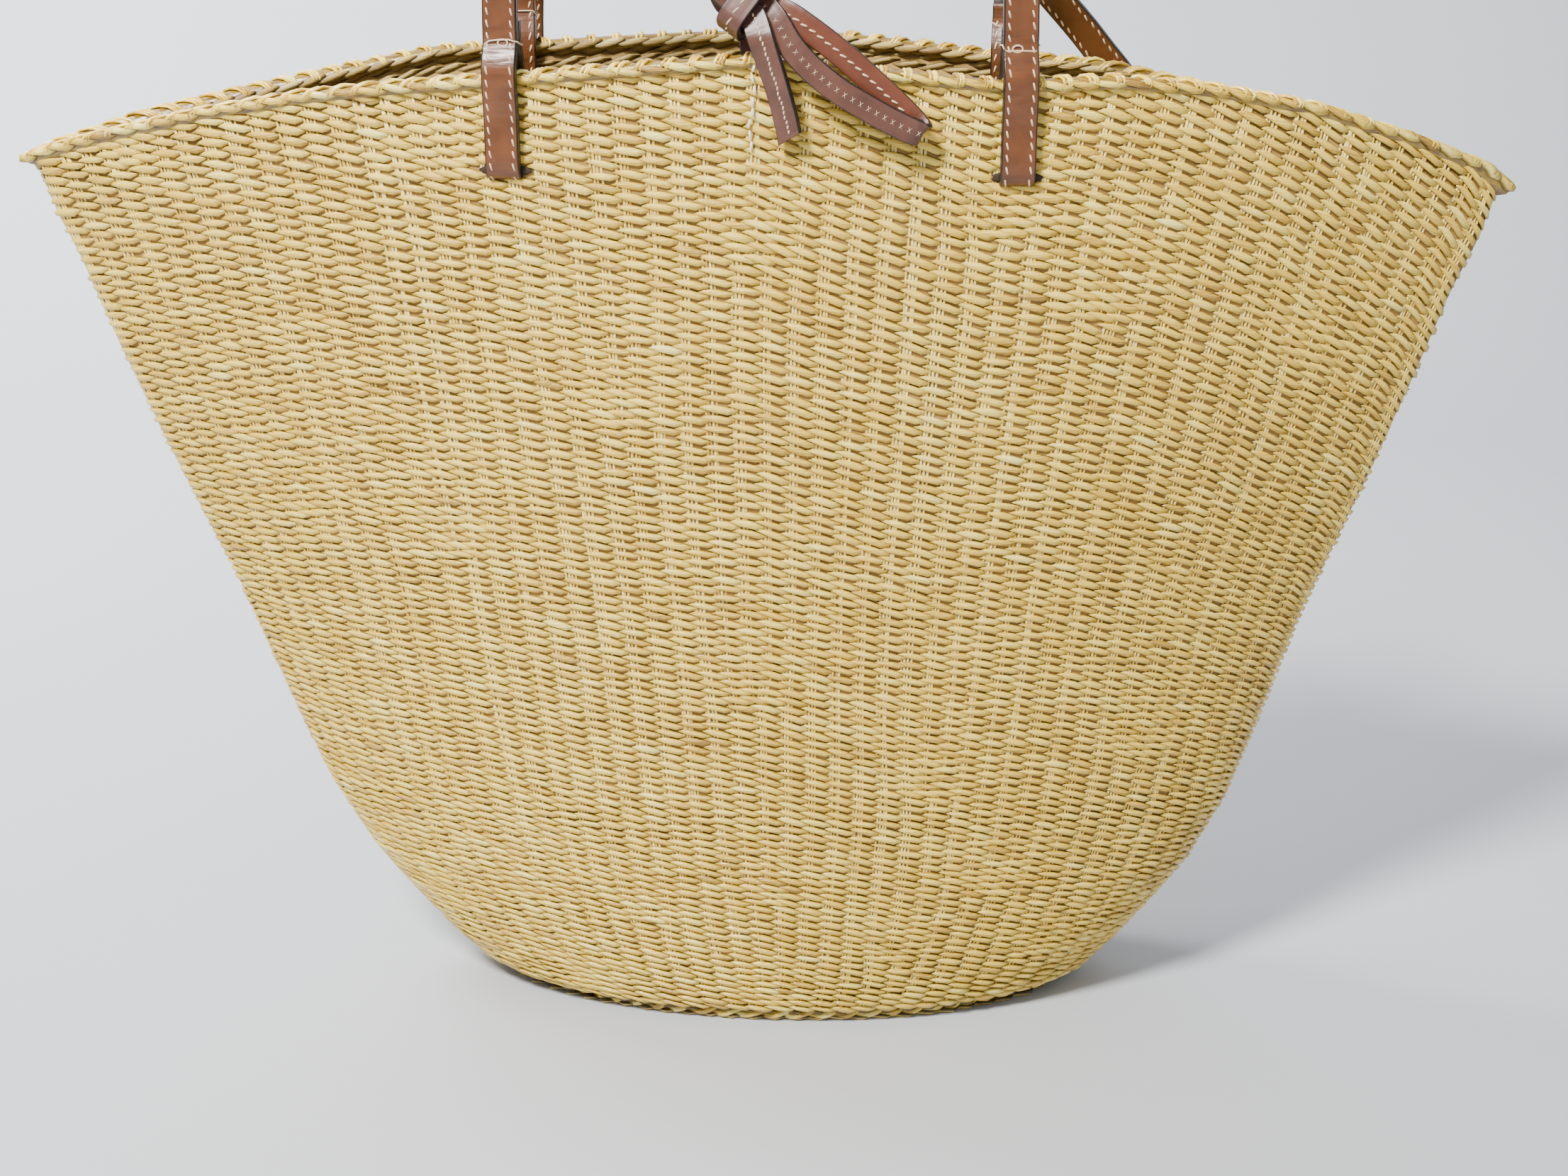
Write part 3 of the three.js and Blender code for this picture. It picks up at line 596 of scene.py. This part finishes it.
# The core of the border gets a low tone and painted shade (tint 0.3), dark where it shows between the rim
# leaves.
rim_core = surface(
    "rim_core", rim_count * 2, 8, lambda u, v: rim_place(u, 0.5 + (v - 0.5) * 2 / 1.55, 0.8),
    lambda u, v: (np.full_like(u, 0.3), np.full_like(u, 0.3)), lambda u, v: (u * 120.0, v * 12.0),
    straw,
)
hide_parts("rim_braid")
for name, middle, turned, finish in (
        ("rim_leaves_outside", 0.22, 1.0, straw), ("rim_leaves_inside", 0.78, -1.0, shaded_inner_straw)):
    run, rise, out, shade = leaves(rim_count, 0.0006, 0.0005)
    share, turn = rim_share[:, :, None] + run / rim_count, middle + turned * rise * RIM_ROW * 1.1
    points = rim_place(share, turn, 0.84 + out / (RIM_TALL / 2))
    tones = rng.beta(2.4, 1.8, rim_count)
    joined(name, points, finish, tones, shade, run * 0.9, rise * 13.0)
bend = np.linspace(0.0, 1.0, 7)[None, :]
round_turn = np.arange(5)[:, None] / 5 * 2 * math.pi
CURL_THICK = 0.0007
curls = []
for number in range(3):
    run = -0.74 + 0.13 * number + 0.34 * bend + rng.normal(0, 0.03, rim_count)[:, None]
    turn = 0.13 + 0.68 * bend + rng.normal(0, 0.01, rim_count)[:, None]
    big = 0.86 + 0.15 * np.sin(bend * math.pi) * rng.uniform(0.6, 1.1, rim_count)[:, None]
    taper = CURL_THICK * (0.35 + 0.65 * np.sin(bend * math.pi) ** 0.5)
    thick = taper * rng.uniform(0.8, 1.15, rim_count)[:, None]
    share = rim_share + run / rim_count
    spine = rim_place(share, turn, big)
    outwards = rim_place(share, turn, big + 0.1) - spine
    outwards /= np.linalg.norm(outwards, axis=-1, keepdims=True)
    sideways = np.cross(outwards, np.gradient(spine, axis=1))
    sideways /= np.linalg.norm(sideways, axis=-1, keepdims=True)
    curls.append(spine[:, :, None] + thick[:, :, None, None] * (
        sideways[:, :, None] * np.cos(round_turn) + outwards[:, :, None] * np.sin(round_turn)))
curls = np.concatenate(curls)
joined("rim_curls", curls, straw, rng.beta(2.0, 1.8, len(curls)))

# The foot: two thick strands twisted round the edge of the base, paler and darker in turn along each.
FOOT_TURNS = 34


def foot_place(start):
    def place(u, v):
        angle = u * 2 * math.pi
        half, deep, _ = plan(0.0)
        inset = RING_WIDE / 2
        centre = np.stack([LEAN + (half - inset) * np.cos(angle), (deep - inset) * np.sin(angle),
                           np.full_like(u, RING_TALL * 0.46)], axis=-1)
        away = np.stack([np.cos(angle) * deep, np.sin(angle) * half, np.zeros_like(u)], axis=-1)
        away /= np.linalg.norm(away, axis=1, keepdims=True)
        twist = u * FOOT_TURNS * 2 * math.pi + start
        tube = v * 2 * math.pi
        thick = RING_TALL * 0.24 * (1 + 0.1 * np.sin(u * 61 * 2 * math.pi + start))
        point = centre + away * (np.cos(twist) * 0.0016 + np.cos(tube) * thick * 1.25)[:, None]
        point[:, 2] += np.sin(twist) * 0.00095 + np.sin(tube) * thick
        point[:, 2] = np.maximum(point[:, 2], 0.0)
        return point
    return place


for start, name in ((0.0, "foot_strand_a"), (math.pi, "foot_strand_b")):
    foot = surface(
        name, FOOT_TURNS * 12, 8, foot_place(start),
        # Tint: a tone that rises and falls along each strand, and an even painted shade (0.8) on the whole
        # foot.
        lambda u, v: (0.55 + 0.35 * np.sin(u * 211.0 + 1.3 * np.sin(u * 57.0)), np.full_like(u, 0.8)),
        lambda u, v: (u * 150.0, v * 9.0), straw,
    )
    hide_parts("base_ring")

# The handles: flat straps of two layers of chestnut leather, dark underneath and black on the
# cut edges, sewn along both edges. Each leg goes down inside the wall, out through a slit and
# up again, and above the rim its two runs are bound together.
LEG_RISE, HANDLE_RISE = 0.016, 0.162
STRAP_SECTION = np.array([
    # across, through, brown side, cut edge
    (-0.94, 1.0, 1.0, 1.0), (-0.88, 1.02, 1.0, 0.0), (-0.7, 0.93, 1.0, 0.0), (-0.5, 1.0, 1.0, 0.0),
    (0.0, 1.0, 1.0, 0.0), (0.5, 1.0, 1.0, 0.0), (0.7, 0.93, 1.0, 0.0), (0.88, 1.02, 1.0, 0.0),
    (0.94, 1.0, 1.0, 1.0), (0.97, 0.92, 0.6, 1.0), (1.0, 0.6, 0.6, 1.0), (1.0, 0.15, 0.5, 1.0),
    (0.95, 0.0, 0.3, 1.0), (1.0, -0.15, 0.2, 1.0), (1.0, -0.6, 0.0, 1.0), (0.97, -0.92, 0.0, 1.0),
    (0.92, -1.0, 0.0, 0.0), (0.5, -1.0, 0.0, 0.0), (0.0, -1.0, 0.0, 0.0), (-0.5, -1.0, 0.0, 0.0),
    (-0.92, -1.0, 0.0, 0.0), (-0.97, -0.92, 0.0, 1.0), (-1.0, -0.6, 0.0, 1.0), (-1.0, -0.15, 0.2, 1.0),
    (-0.95, 0.0, 0.3, 1.0), (-1.0, 0.15, 0.5, 1.0), (-1.0, 0.6, 0.6, 1.0), (-0.97, 0.92, 0.6, 1.0),
])


# Leather: a cloudy tone and shallow folds across the strap.
leather_folds, taken, given = new_group(
    "leather_folds", {"Place": "Vector"}, {"Shade": "Float", "Relief": "Float"})
squeezed = linked(leather_folds, "ShaderNodeVectorMath", {"operation": "MULTIPLY"}, i0=taken["Place"],
                  i1=(0.35, 0.08, 1.0))
folds = linked(leather_folds, "ShaderNodeTexNoise", {}, Vector=squeezed.outputs["Vector"], Scale=1.0,
               Detail=3.0)
cloud = linked(leather_folds, "ShaderNodeTexNoise", {}, Vector=taken["Place"], Scale=0.12, Detail=2.0)
patch = linked(leather_folds, "ShaderNodeMapRange", {}, Value=cloud.outputs["Fac"], From_Min=0.3,
               From_Max=0.7, To_Min=0.75, To_Max=1.2)
leather_folds.links.new(patch.outputs["Result"], given["Shade"])
leather_folds.links.new(folds.outputs["Fac"], given["Relief"])


def leather_material(name, face, back, edge, roughness):
    material, tree, shader = new_material(name)
    tint = linked(tree, "ShaderNodeVertexColor", {"layer_name": "tint"})
    split = linked(tree, "ShaderNodeSeparateColor", {}, Color=tint.outputs["Color"])
    uv = linked(tree, "ShaderNodeUVMap", {"uv_map": "run"})
    folds = linked(tree, "ShaderNodeGroup", {"node_tree": leather_folds}, Place=uv.outputs["UV"])
    sides = linked(tree, "ShaderNodeMix", {"data_type": "RGBA"}, Factor=split.outputs["Red"])
    sides.inputs["A"].default_value = back + (1.0,)
    sides.inputs["B"].default_value = face + (1.0,)
    worn = linked(tree, "ShaderNodeMix", {"data_type": "RGBA", "blend_type": "MULTIPLY"}, Factor=1.0,
                  A=sides.outputs["Result"], B=folds.outputs["Shade"])
    cut = linked(tree, "ShaderNodeMix", {"data_type": "RGBA"}, Factor=split.outputs["Green"],
                 A=worn.outputs["Result"])
    cut.inputs["B"].default_value = edge + (1.0,)
    tree.links.new(cut.outputs["Result"], shader.inputs["Base Color"])
    bump = linked(tree, "ShaderNodeBump", {}, Strength=0.25, Distance=0.0008,
                  Height=folds.outputs["Relief"])
    tree.links.new(bump.outputs["Normal"], shader.inputs["Normal"])
    shader.inputs["Roughness"].default_value = roughness
    return material


BLACK_EDGE = (0.009, 0.006, 0.005)
chestnut = leather_material("chestnut", (0.12, 0.040, 0.012), (0.03, 0.019, 0.016), BLACK_EDGE, 0.3)
cream_thread, _, cream_shader = new_material("cream_thread")
cream_shader.inputs["Base Color"].default_value = (0.66, 0.5, 0.32, 1.0)
cream_shader.inputs["Roughness"].default_value = 0.7


# Smooth route through places, with the way its width runs at each: middles, directions along,
# across and through the strap, and the length run so far.
def route_of(places, acrosses, steps, closed=False):
    places, acrosses = np.array(places, float), np.array(acrosses, float)
    count = len(places)
    spans = count if closed else count - 1
    at = np.arange(steps + 1) / steps * spans
    low = np.minimum(at.astype(int), spans - 1)
    part = (at - low)[:, None]
    if closed:
        stops = [places[(low + k) % count] for k in (-1, 0, 1, 2)]
    else:
        longer = np.concatenate([[2 * places[0] - places[1]], places, [2 * places[-1] - places[-2]]])
        stops = [longer[low + k] for k in range(4)]
    before, start, end, beyond = stops
    d0, d1, d2 = (np.linalg.norm(q - p, axis=1, keepdims=True) ** 0.5 + 1e-9
                  for p, q in ((before, start), (start, end), (end, beyond)))
    pull = ((start - before) / d0 - (end - before) / (d0 + d1) + (end - start) / d1) * d1
    push = ((end - start) / d1 - (beyond - start) / (d1 + d2) + (beyond - end) / d2) * d1
    square, cube = -3 * start + 3 * end - 2 * pull - push, 2 * start - 2 * end + pull + push
    middle = start + pull * part + square * part**2 + cube * part**3
    along = pull + 2 * square * part + 3 * cube * part**2
    along /= np.linalg.norm(along, axis=1, keepdims=True)
    across = acrosses[low] * (1 - part) + acrosses[(low + 1) % count] * part
    across -= (across * along).sum(1, keepdims=True) * along
    across /= np.linalg.norm(across, axis=1, keepdims=True)
    run = np.append(0.0, np.cumsum(np.linalg.norm(np.diff(middle, axis=0), axis=1)))
    return middle, along, across, np.cross(along, across), run


def on_route(route, run, across, through):
    middle, _, wide, high, length = route
    here, aside, outwards = (np.stack([np.interp(run, length, part[:, k]) for k in range(3)], axis=-1)
                             for part in (middle, wide, high))
    return here + aside * across[..., None] + outwards * through[..., None]


# A strap along its route; its last end is cut askew by slant.
def strap(name, route, wide, thick, facing, finish, slant=0.0):
    steps, around = len(route[4]) - 1, len(STRAP_SECTION)

    def corner(v):
        return STRAP_SECTION[np.rint(v * around).astype(int) % around].T

    def place(u, v):
        across, through, _, _ = corner(v)
        run = route[4][np.rint(u * steps).astype(int)] - slant * u**10 * (across + 1) / 2
        return on_route(route, run, across * wide / 2, facing * through * thick / 2)

    piece = surface(
        name, steps, around, place, lambda u, v: corner(v)[2:],
        lambda u, v: (u * route[4][-1] * 1000, corner(v)[0] * wide * 500), finish,
    )
    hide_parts(name.replace("_leather", ""))
    return piece


# Stitches along a strap: short tubes that dip into the leather at both ends.
STITCH = np.array([
    # along, height, thickness
    (-1.0, -0.9, 0.4), (-0.8, 0.0, 0.85), (0.0, 0.5, 1.0), (0.8, 0.0, 0.85), (1.0, -0.9, 0.4),
])


def stitches(name, route, across, through, pitch, length, thick, start=0.004, slants=(-0.25,)):
    end = route[4][-1]
    runs = np.arange(start, end - start, pitch)[:, None, None]
    s, lift, fat = (STITCH[:, k][None, :, None] for k in range(3))
    turn = np.arange(6)[None, None, :] / 6 * 2 * math.pi
    facing = np.sign(through)
    tubes = []
    for slant in slants:
        jitter = rng.normal(0, thick * 0.15, (len(runs), 1, 1))
        tubes.append(on_route(route, runs + s * length / 2 + 0 * turn,
                              across + jitter + s * slant * length / 2 + np.cos(turn) * fat * thick / 2,
                              through + facing * (lift * thick * 0.45 + np.sin(turn) * fat * thick / 2)))
    tubes = np.concatenate(tubes)
    joined(name, tubes, cream_thread, rng.uniform(0.3, 0.7, len(tubes)))


def wall_middle(x, z, side):
    up = z / HEIGHT
    for _ in range(6):
        up = min(1.0, z / wall_top((x - lean_at(up)) / plan(up)[0], side))
    half, deep, lens = plan(up)
    seam = END_SEAM * (0.45 + 0.55 * lens)
    x = x - lean_at(up)
    faces = [(deep - WALL * i) * math.sqrt(1 - (x / (half - seam * i)) ** 2) ** (1 + lens) for i in (0, 1)]
    return side * sum(faces) / 2


def leg(side, x):
    end = 1 if x > 0 else -1
    top = float(rim_top(x / (MOUTH_WIDTH / 2), side))
    bottom = top - SLIT_DROP
    turn = WALL / 2 + GAP + STRAP_THICK / 2
    past = RIM_THICK / 2 + GAP + STRAP_THICK / 2
    shut = GAP / 2 + STRAP_THICK / 2
    reach = STRAP_WIDE / 2
    drift = wall_middle(x + reach, top - RIM_TALL, side) - wall_middle(x - reach, top - RIM_TALL, side)
    across = np.array([2 * reach, drift, 0.0]) / math.hypot(2 * reach, drift) * -end
    away = np.array([across[1], -across[0], 0.0]) * side * end
    table = [
        (-shut, top + LEG_RISE), (-shut - 0.0003, top + LEG_RISE * 0.6), (-past - 0.0002, top + 0.001),
        (-past - 0.0002, top - RIM_TALL), (-turn - 0.0005, top - SLIT_DROP * 0.45),
        (-turn, bottom + turn * 1.2), (-turn * 0.72, bottom + turn * 0.3), (0.0, bottom),
    ]
    table += [(-out, z) for out, z in reversed(table[:-1])]
    under_rim = top - RIM_TALL
    stops = [np.array([x, wall_middle(x, min(z, under_rim), side), z]) + away * out for out, z in table]
    return stops, across, away, top


def handle(side, rows, steps):
    left, right = (leg(*place) for place in LEGS if place[0] == side)
    back = left[0][-1][1]
    places = left[0] + [np.array([x, back + y, z]) for x, y, z, _ in rows] + right[0][::-1]
    acrosses = [left[1]] * len(left[0]) + [way for *_, way in rows] + [right[1]] * len(right[0])
    return route_of(places, acrosses, steps)


def lerp(low, high, part):
    return np.array(low) * (1 - part) + np.array(high) * part


FRONT_MIDDLE, FRONT_HALF, REAR_HALF = 0.0035, 0.083, 0.086
arch = [(FRONT_MIDDLE + share * FRONT_HALF, 0.0, HEIGHT + HANDLE_RISE * rise,
         lerp((1 if share < 0 else -1, 0, 0), (0, -1, 0), turn)) for share, rise, turn in (
    (-0.97, 0.38, 0.1), (-0.84, 0.66, 0.45), (-0.5, 0.9, 0.9), (0, 1, 1),
    (0.5, 0.9, 0.9), (0.84, 0.66, 0.45), (0.97, 0.38, 0.1))]
# The rear handle has dropped back over the rim and hangs behind the bag, pushed to the right.
hanging = [(share * REAR_HALF, back, HEIGHT - drop,
            lerp((1 if share < 0.2 else -1, 0, 0), (0, 0, 1), turn)) for share, back, drop, turn in (
    (-0.99, 0.008, -0.026, 0), (-1.0, 0.022, -0.02, 0.1), (-1.03, 0.033, 0.006, 0.15),
    (-1.02, 0.041, 0.05, 0.2), (-0.78, 0.046, 0.1, 0.5), (-0.1, 0.048, 0.135, 0.95),
    (0.65, 0.049, 0.138, 0.95), (1.25, 0.048, 0.112, 0.6), (1.55, 0.044, 0.066, 0.2),
    (1.56, 0.04, 0.03, 0), (1.38, 0.034, 0.008, 0), (1.15, 0.024, -0.014, 0), (1.04, 0.009, -0.024, 0))]
for name, side, rows, facing in (("handle_front", -1, arch, -1.0), ("handle_rear", 1, hanging, 1.0)):
    route = handle(side, rows, 260)
    strap(name + "_leather", route, STRAP_WIDE, STRAP_THICK, facing, chestnut)
    face = facing * STRAP_THICK * 0.46
    for label, across in (("left", -0.0039), ("right", 0.0039)):
        stitches(f"{name}_stitches_{label}", route, across, face, 0.0038, 0.0026, 0.0007)

# A slack turn of thin thread binds the two runs of each leg above the rim, with a small loop of
# it left on the outer face. Below, a dark plate of painted shadow marks the slit's gap past the strap.
BIND_HIGH = 0.0094
upwards = np.array([0, 0, 1.0])
angle = np.arange(32)[:, None] / 32 * 2 * math.pi
turn = np.arange(6)[None, :, None] / 6 * 2 * math.pi
squared = lambda value, size: np.sign(value) * np.abs(value) ** 0.4 * size
loops, shadow_plates = [], []
for side, x in LEGS:
    _, across, away, top = leg(side, x)
    hub = np.array([x, wall_middle(x, top - RIM_TALL, side), top + BIND_HIGH])
    wave = 0.0009 * np.sin(2 * angle + x * 90) + 0.0003 * np.sin(5 * angle)
    around = (hub + across * squared(np.cos(angle), STRAP_WIDE / 2 + 0.0004)
              + away * squared(np.sin(angle), STRAP_THICK + 0.0008) + upwards * wave)
    spare = (hub + away * (STRAP_THICK + 0.0007) + across * (0.0012 + 0.0016 * np.cos(angle))
             + upwards * 0.0011 * np.sin(angle))
    for path, outwards in ((around, across * np.cos(angle) + away * np.sin(angle)),
                           (spare, across * np.cos(angle) + upwards * np.sin(angle))):
        beside = np.cross(outwards, np.roll(path, -1, axis=0) - path)
        beside /= np.linalg.norm(beside, axis=1, keepdims=True)
        tube = outwards[:, None] * np.cos(turn) + beside[:, None] * np.sin(turn)
        loops.append(path[:, None] + 0.0003 * tube)
    run = np.linspace(-1.0, 1.0, 11)[:, None]
    reach = run * (STRAP_WIDE / 2 + 0.0032)
    depth = np.array([wall_middle(x + part, top - SLIT_DROP, side) for part in reach[:, 0]])[:, None]
    tall = 0.0020 * np.sqrt(1.02 - run**2)
    ring = np.arange(6)[None, :] / 6 * 2 * math.pi
    shadow_plates.append(np.stack(np.broadcast_arrays(
        x + reach, depth + side * (0.0011 + 0.0002 * np.sin(ring)),
        top - SLIT_DROP + 0.0016 + tall * np.cos(ring)), axis=-1))
tones = rng.uniform(0.4, 0.6, len(loops))
joined("binding_threads", np.array(loops), cream_thread, tones, ring=True)
# Painted shadow: a near-black finish for the plates that stand for the dark gap of each slit.
shadow_straw, _, shadow_shader = new_material("shadow_straw")
shadow_shader.inputs["Base Color"].default_value = (0.035, 0.02, 0.008, 1.0)
shadow_shader.inputs["Roughness"].default_value = 0.9
joined("slit_hollows", np.array(shadow_plates), shadow_straw, np.full(len(LEGS), 0.5))

# The tie: two narrower straps, sewn inside the front and the rear wall and knotted over the
# front rim into half a bow, with one line of fine stitches along the middle.
TIE_WIDE, TIE_THICK, TIE_LAYER, TIE_FAN = 0.0084, 0.0022, 0.0003, 0.0025
LAYER = TIE_THICK + TIE_LAYER
HALF = TIE_WIDE / 2
PAST_RIM = RIM_THICK / 2 + GAP + TIE_THICK / 2
SPAN = MOUTH_DEPTH - WALL
# The tie's outer face is painted a greyer brown than its saturated back: a painted sheen of the grazing
# light.
dark_chestnut = leather_material(
    "dark_chestnut", (0.095, 0.036, 0.022), (0.125, 0.033, 0.013), BLACK_EDGE, 0.4)


def at_front(x, out, up):
    return np.array([x * 0.001, -SPAN / 2 - out * 0.001, HEIGHT + up * 0.001])


def unit(vector):
    return np.array(vector) / np.linalg.norm(vector)


knot_middle = at_front(0, 1.5, 15)
knot_axis = unit((0.8, -0.22, -0.55))
knot_front = np.array([0.03, -0.95, 0.32])
knot_front = unit(knot_front - knot_front.dot(knot_axis) * knot_axis)
knot_across = np.cross(knot_front, knot_axis)


def in_knot(along, layer, upper):
    return knot_middle + knot_axis * along + knot_front * layer * LAYER + knot_across * upper * TIE_FAN


turns = (np.arange(12) + 0.5) / 12 * 2 * math.pi
band = [knot_middle + knot_across * squared(math.cos(turn), HALF + TIE_FAN + 0.0015 + TIE_THICK / 2)
        + knot_front * squared(math.sin(turn), 2 * LAYER + 0.0007 + TIE_THICK / 2) for turn in turns]
loop = [in_knot(-HALF, 0.5, 1), in_knot(0, 0.5, 1), in_knot(HALF, 0.5, 1)] + [at_front(*row) for row in (
    (9.4, 5.6, 10.2), (13.8, 7.4, 3.3), (19.6, 8.6, -3.1), (28.3, 9.7, -10), (37.3, 9.7, -15.4),
    (46.2, 9.5, -20.2), (53, 9.2, -23.3), (55.4, 7.8, -23.7), (54, 6.5, -21.6), (50.6, 6, -18),
    (41.9, 5.7, -10), (30.6, 5.5, -0.2), (19.4, 5.2, 8.2), (12, 3.6, 12.6))]
loop += [in_knot(HALF, -0.5, 1), in_knot(0, -0.5, 1), in_knot(-HALF, -0.5, 1)]
loop_across = [knot_across] * 3 + [np.array([0.62, 0, 0.78])] * 14 + [knot_across] * 3


def behind_front(x, up):
    wall = wall_middle(x * 0.001, HEIGHT + up * 0.001, -1) + SPAN / 2
    return at_front(x, -(wall + PAST_RIM + 0.0002) * 1000, up)


past = PAST_RIM * 1000
front = [behind_front(1.5, -38), behind_front(1.5, -22), behind_front(1.5, -7), at_front(1.2, -past - 2.2, 2),
         at_front(-0.5, -past - 6.5, 10), at_front(-4.5, -past - 7, 18), at_front(-9.5, -past - 3, 22),
         in_knot(-HALF - 0.003, -1.5, -1)]
front += [in_knot(part, -1.5, -1) for part in (-HALF, 0, HALF)]
front_across = [(1, 0, 0)] * 5 + [(0.95, 0, 0.3)] + [knot_across] * 5


def inside_rear(up, more):
    y = wall_middle(0.0, HEIGHT + min(up * 0.001, -RIM_TALL), 1) - PAST_RIM - more * 0.001
    return np.array([0.0, y, HEIGHT + up * 0.001])


span = SPAN * 1000
rear = [inside_rear(-38, 0.2), inside_rear(-20, 0.2), inside_rear(-4, 0.4), inside_rear(3, 3.2),
        inside_rear(8, 9)] + [at_front(*row) for row in (
            (-4, -span * 0.55, 15), (-11, -span * 0.3, 22), (-15.5, -6, 26), (-13, 3.5, 24))]
rear += [in_knot(part, 1.5, -1) for part in (-HALF, 0, HALF)] + [at_front(*row) for row in (
    (4.4, 10, 6), (7.4, 10.3, -2), (10, 9.6, -10), (12.2, 8.4, -18.1), (13.5, 7.6, -24), (14.2, 7.3, -28))]
rear_across = [(1, 0, 0)] * 7 + [(0.8, -0.3, 0.4)] + [knot_across] * 4
rear_across += [(1, -0.12, 0), (1, -0.3, 0)] + [(1, -0.4, 0)] * 4
ties = {}
for name, places, acrosses, steps, facing, closed in (
        ("tie_knot", band, [knot_axis] * 12, 72, 1.0, True), ("tie_loop", loop, loop_across, 160, 1.0, False),
        ("tie_front_strap", front, front_across, 90, -1.0, False),
        ("tie_rear_strap", rear, rear_across, 150, 1.0, False)):
    ties[name] = route_of(places, acrosses, steps, closed)
    strap(name + "_leather", ties[name], TIE_WIDE, TIE_THICK, facing, dark_chestnut,
          0.0035 if name == "tie_rear_strap" else 0.0)
face = TIE_THICK * 0.47
stitches("tie_knot_stitches", ties["tie_knot"], 0.0, face, 0.0036, 0.0026, 0.0006, 0.001)
stitches("tie_loop_crosses", ties["tie_loop"], 0.0, face, 0.0029, 0.0012, 0.00034, 0.001, slants=(1.6, -1.6))
stitches("tie_loop_dashes", ties["tie_loop"], 0.0, -face, 0.0031, 0.0024, 0.00075, 0.001)
stitches("tie_front_stitches", ties["tie_front_strap"], 0.0, -face, 0.0016, 0.0013, 0.0006, 0.001)
stitches("tie_rear_stitches", ties["tie_rear_strap"], 0.0004, face, 0.0016, 0.0014, 0.0007, 0.0035)

# The stitches that hold the front strap show outside the front wall as short white threads.
sewn = np.arange(8)
zs = HEIGHT - 0.0045 - sewn * 0.0035
xs = 0.0024 - sewn * 0.00025 + rng.normal(0, 0.0003, 8)
thread = []
for x, z in zip(xs, zs):
    s, lift, fat = (STITCH[:, k][:, None] for k in range(3))
    turn = np.arange(6)[None, :] / 6 * 2 * math.pi
    y = wall_middle(x, min(z, HEIGHT - 0.0063), -1) - WALL / 2 - 0.0008
    lean = rng.uniform(-0.25, 0.25)
    thread.append(np.stack(np.broadcast_arrays(
        x + s * lean * 0.0014 + np.cos(turn) * fat * 0.0005,
        y - lift * 0.0004 - np.sin(turn) * fat * 0.0005, z + s * 0.0014), axis=-1))
white_thread, _, white_shader = new_material("white_thread")
white_shader.inputs["Base Color"].default_value = (0.86, 0.82, 0.74, 1.0)
white_shader.inputs["Roughness"].default_value = 0.7
joined("sewn_thread", np.array(thread), white_thread, np.full(8, 0.5))

size = {"cad": [list(c) for c in cad_box], "visual": [list(c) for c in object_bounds()]}
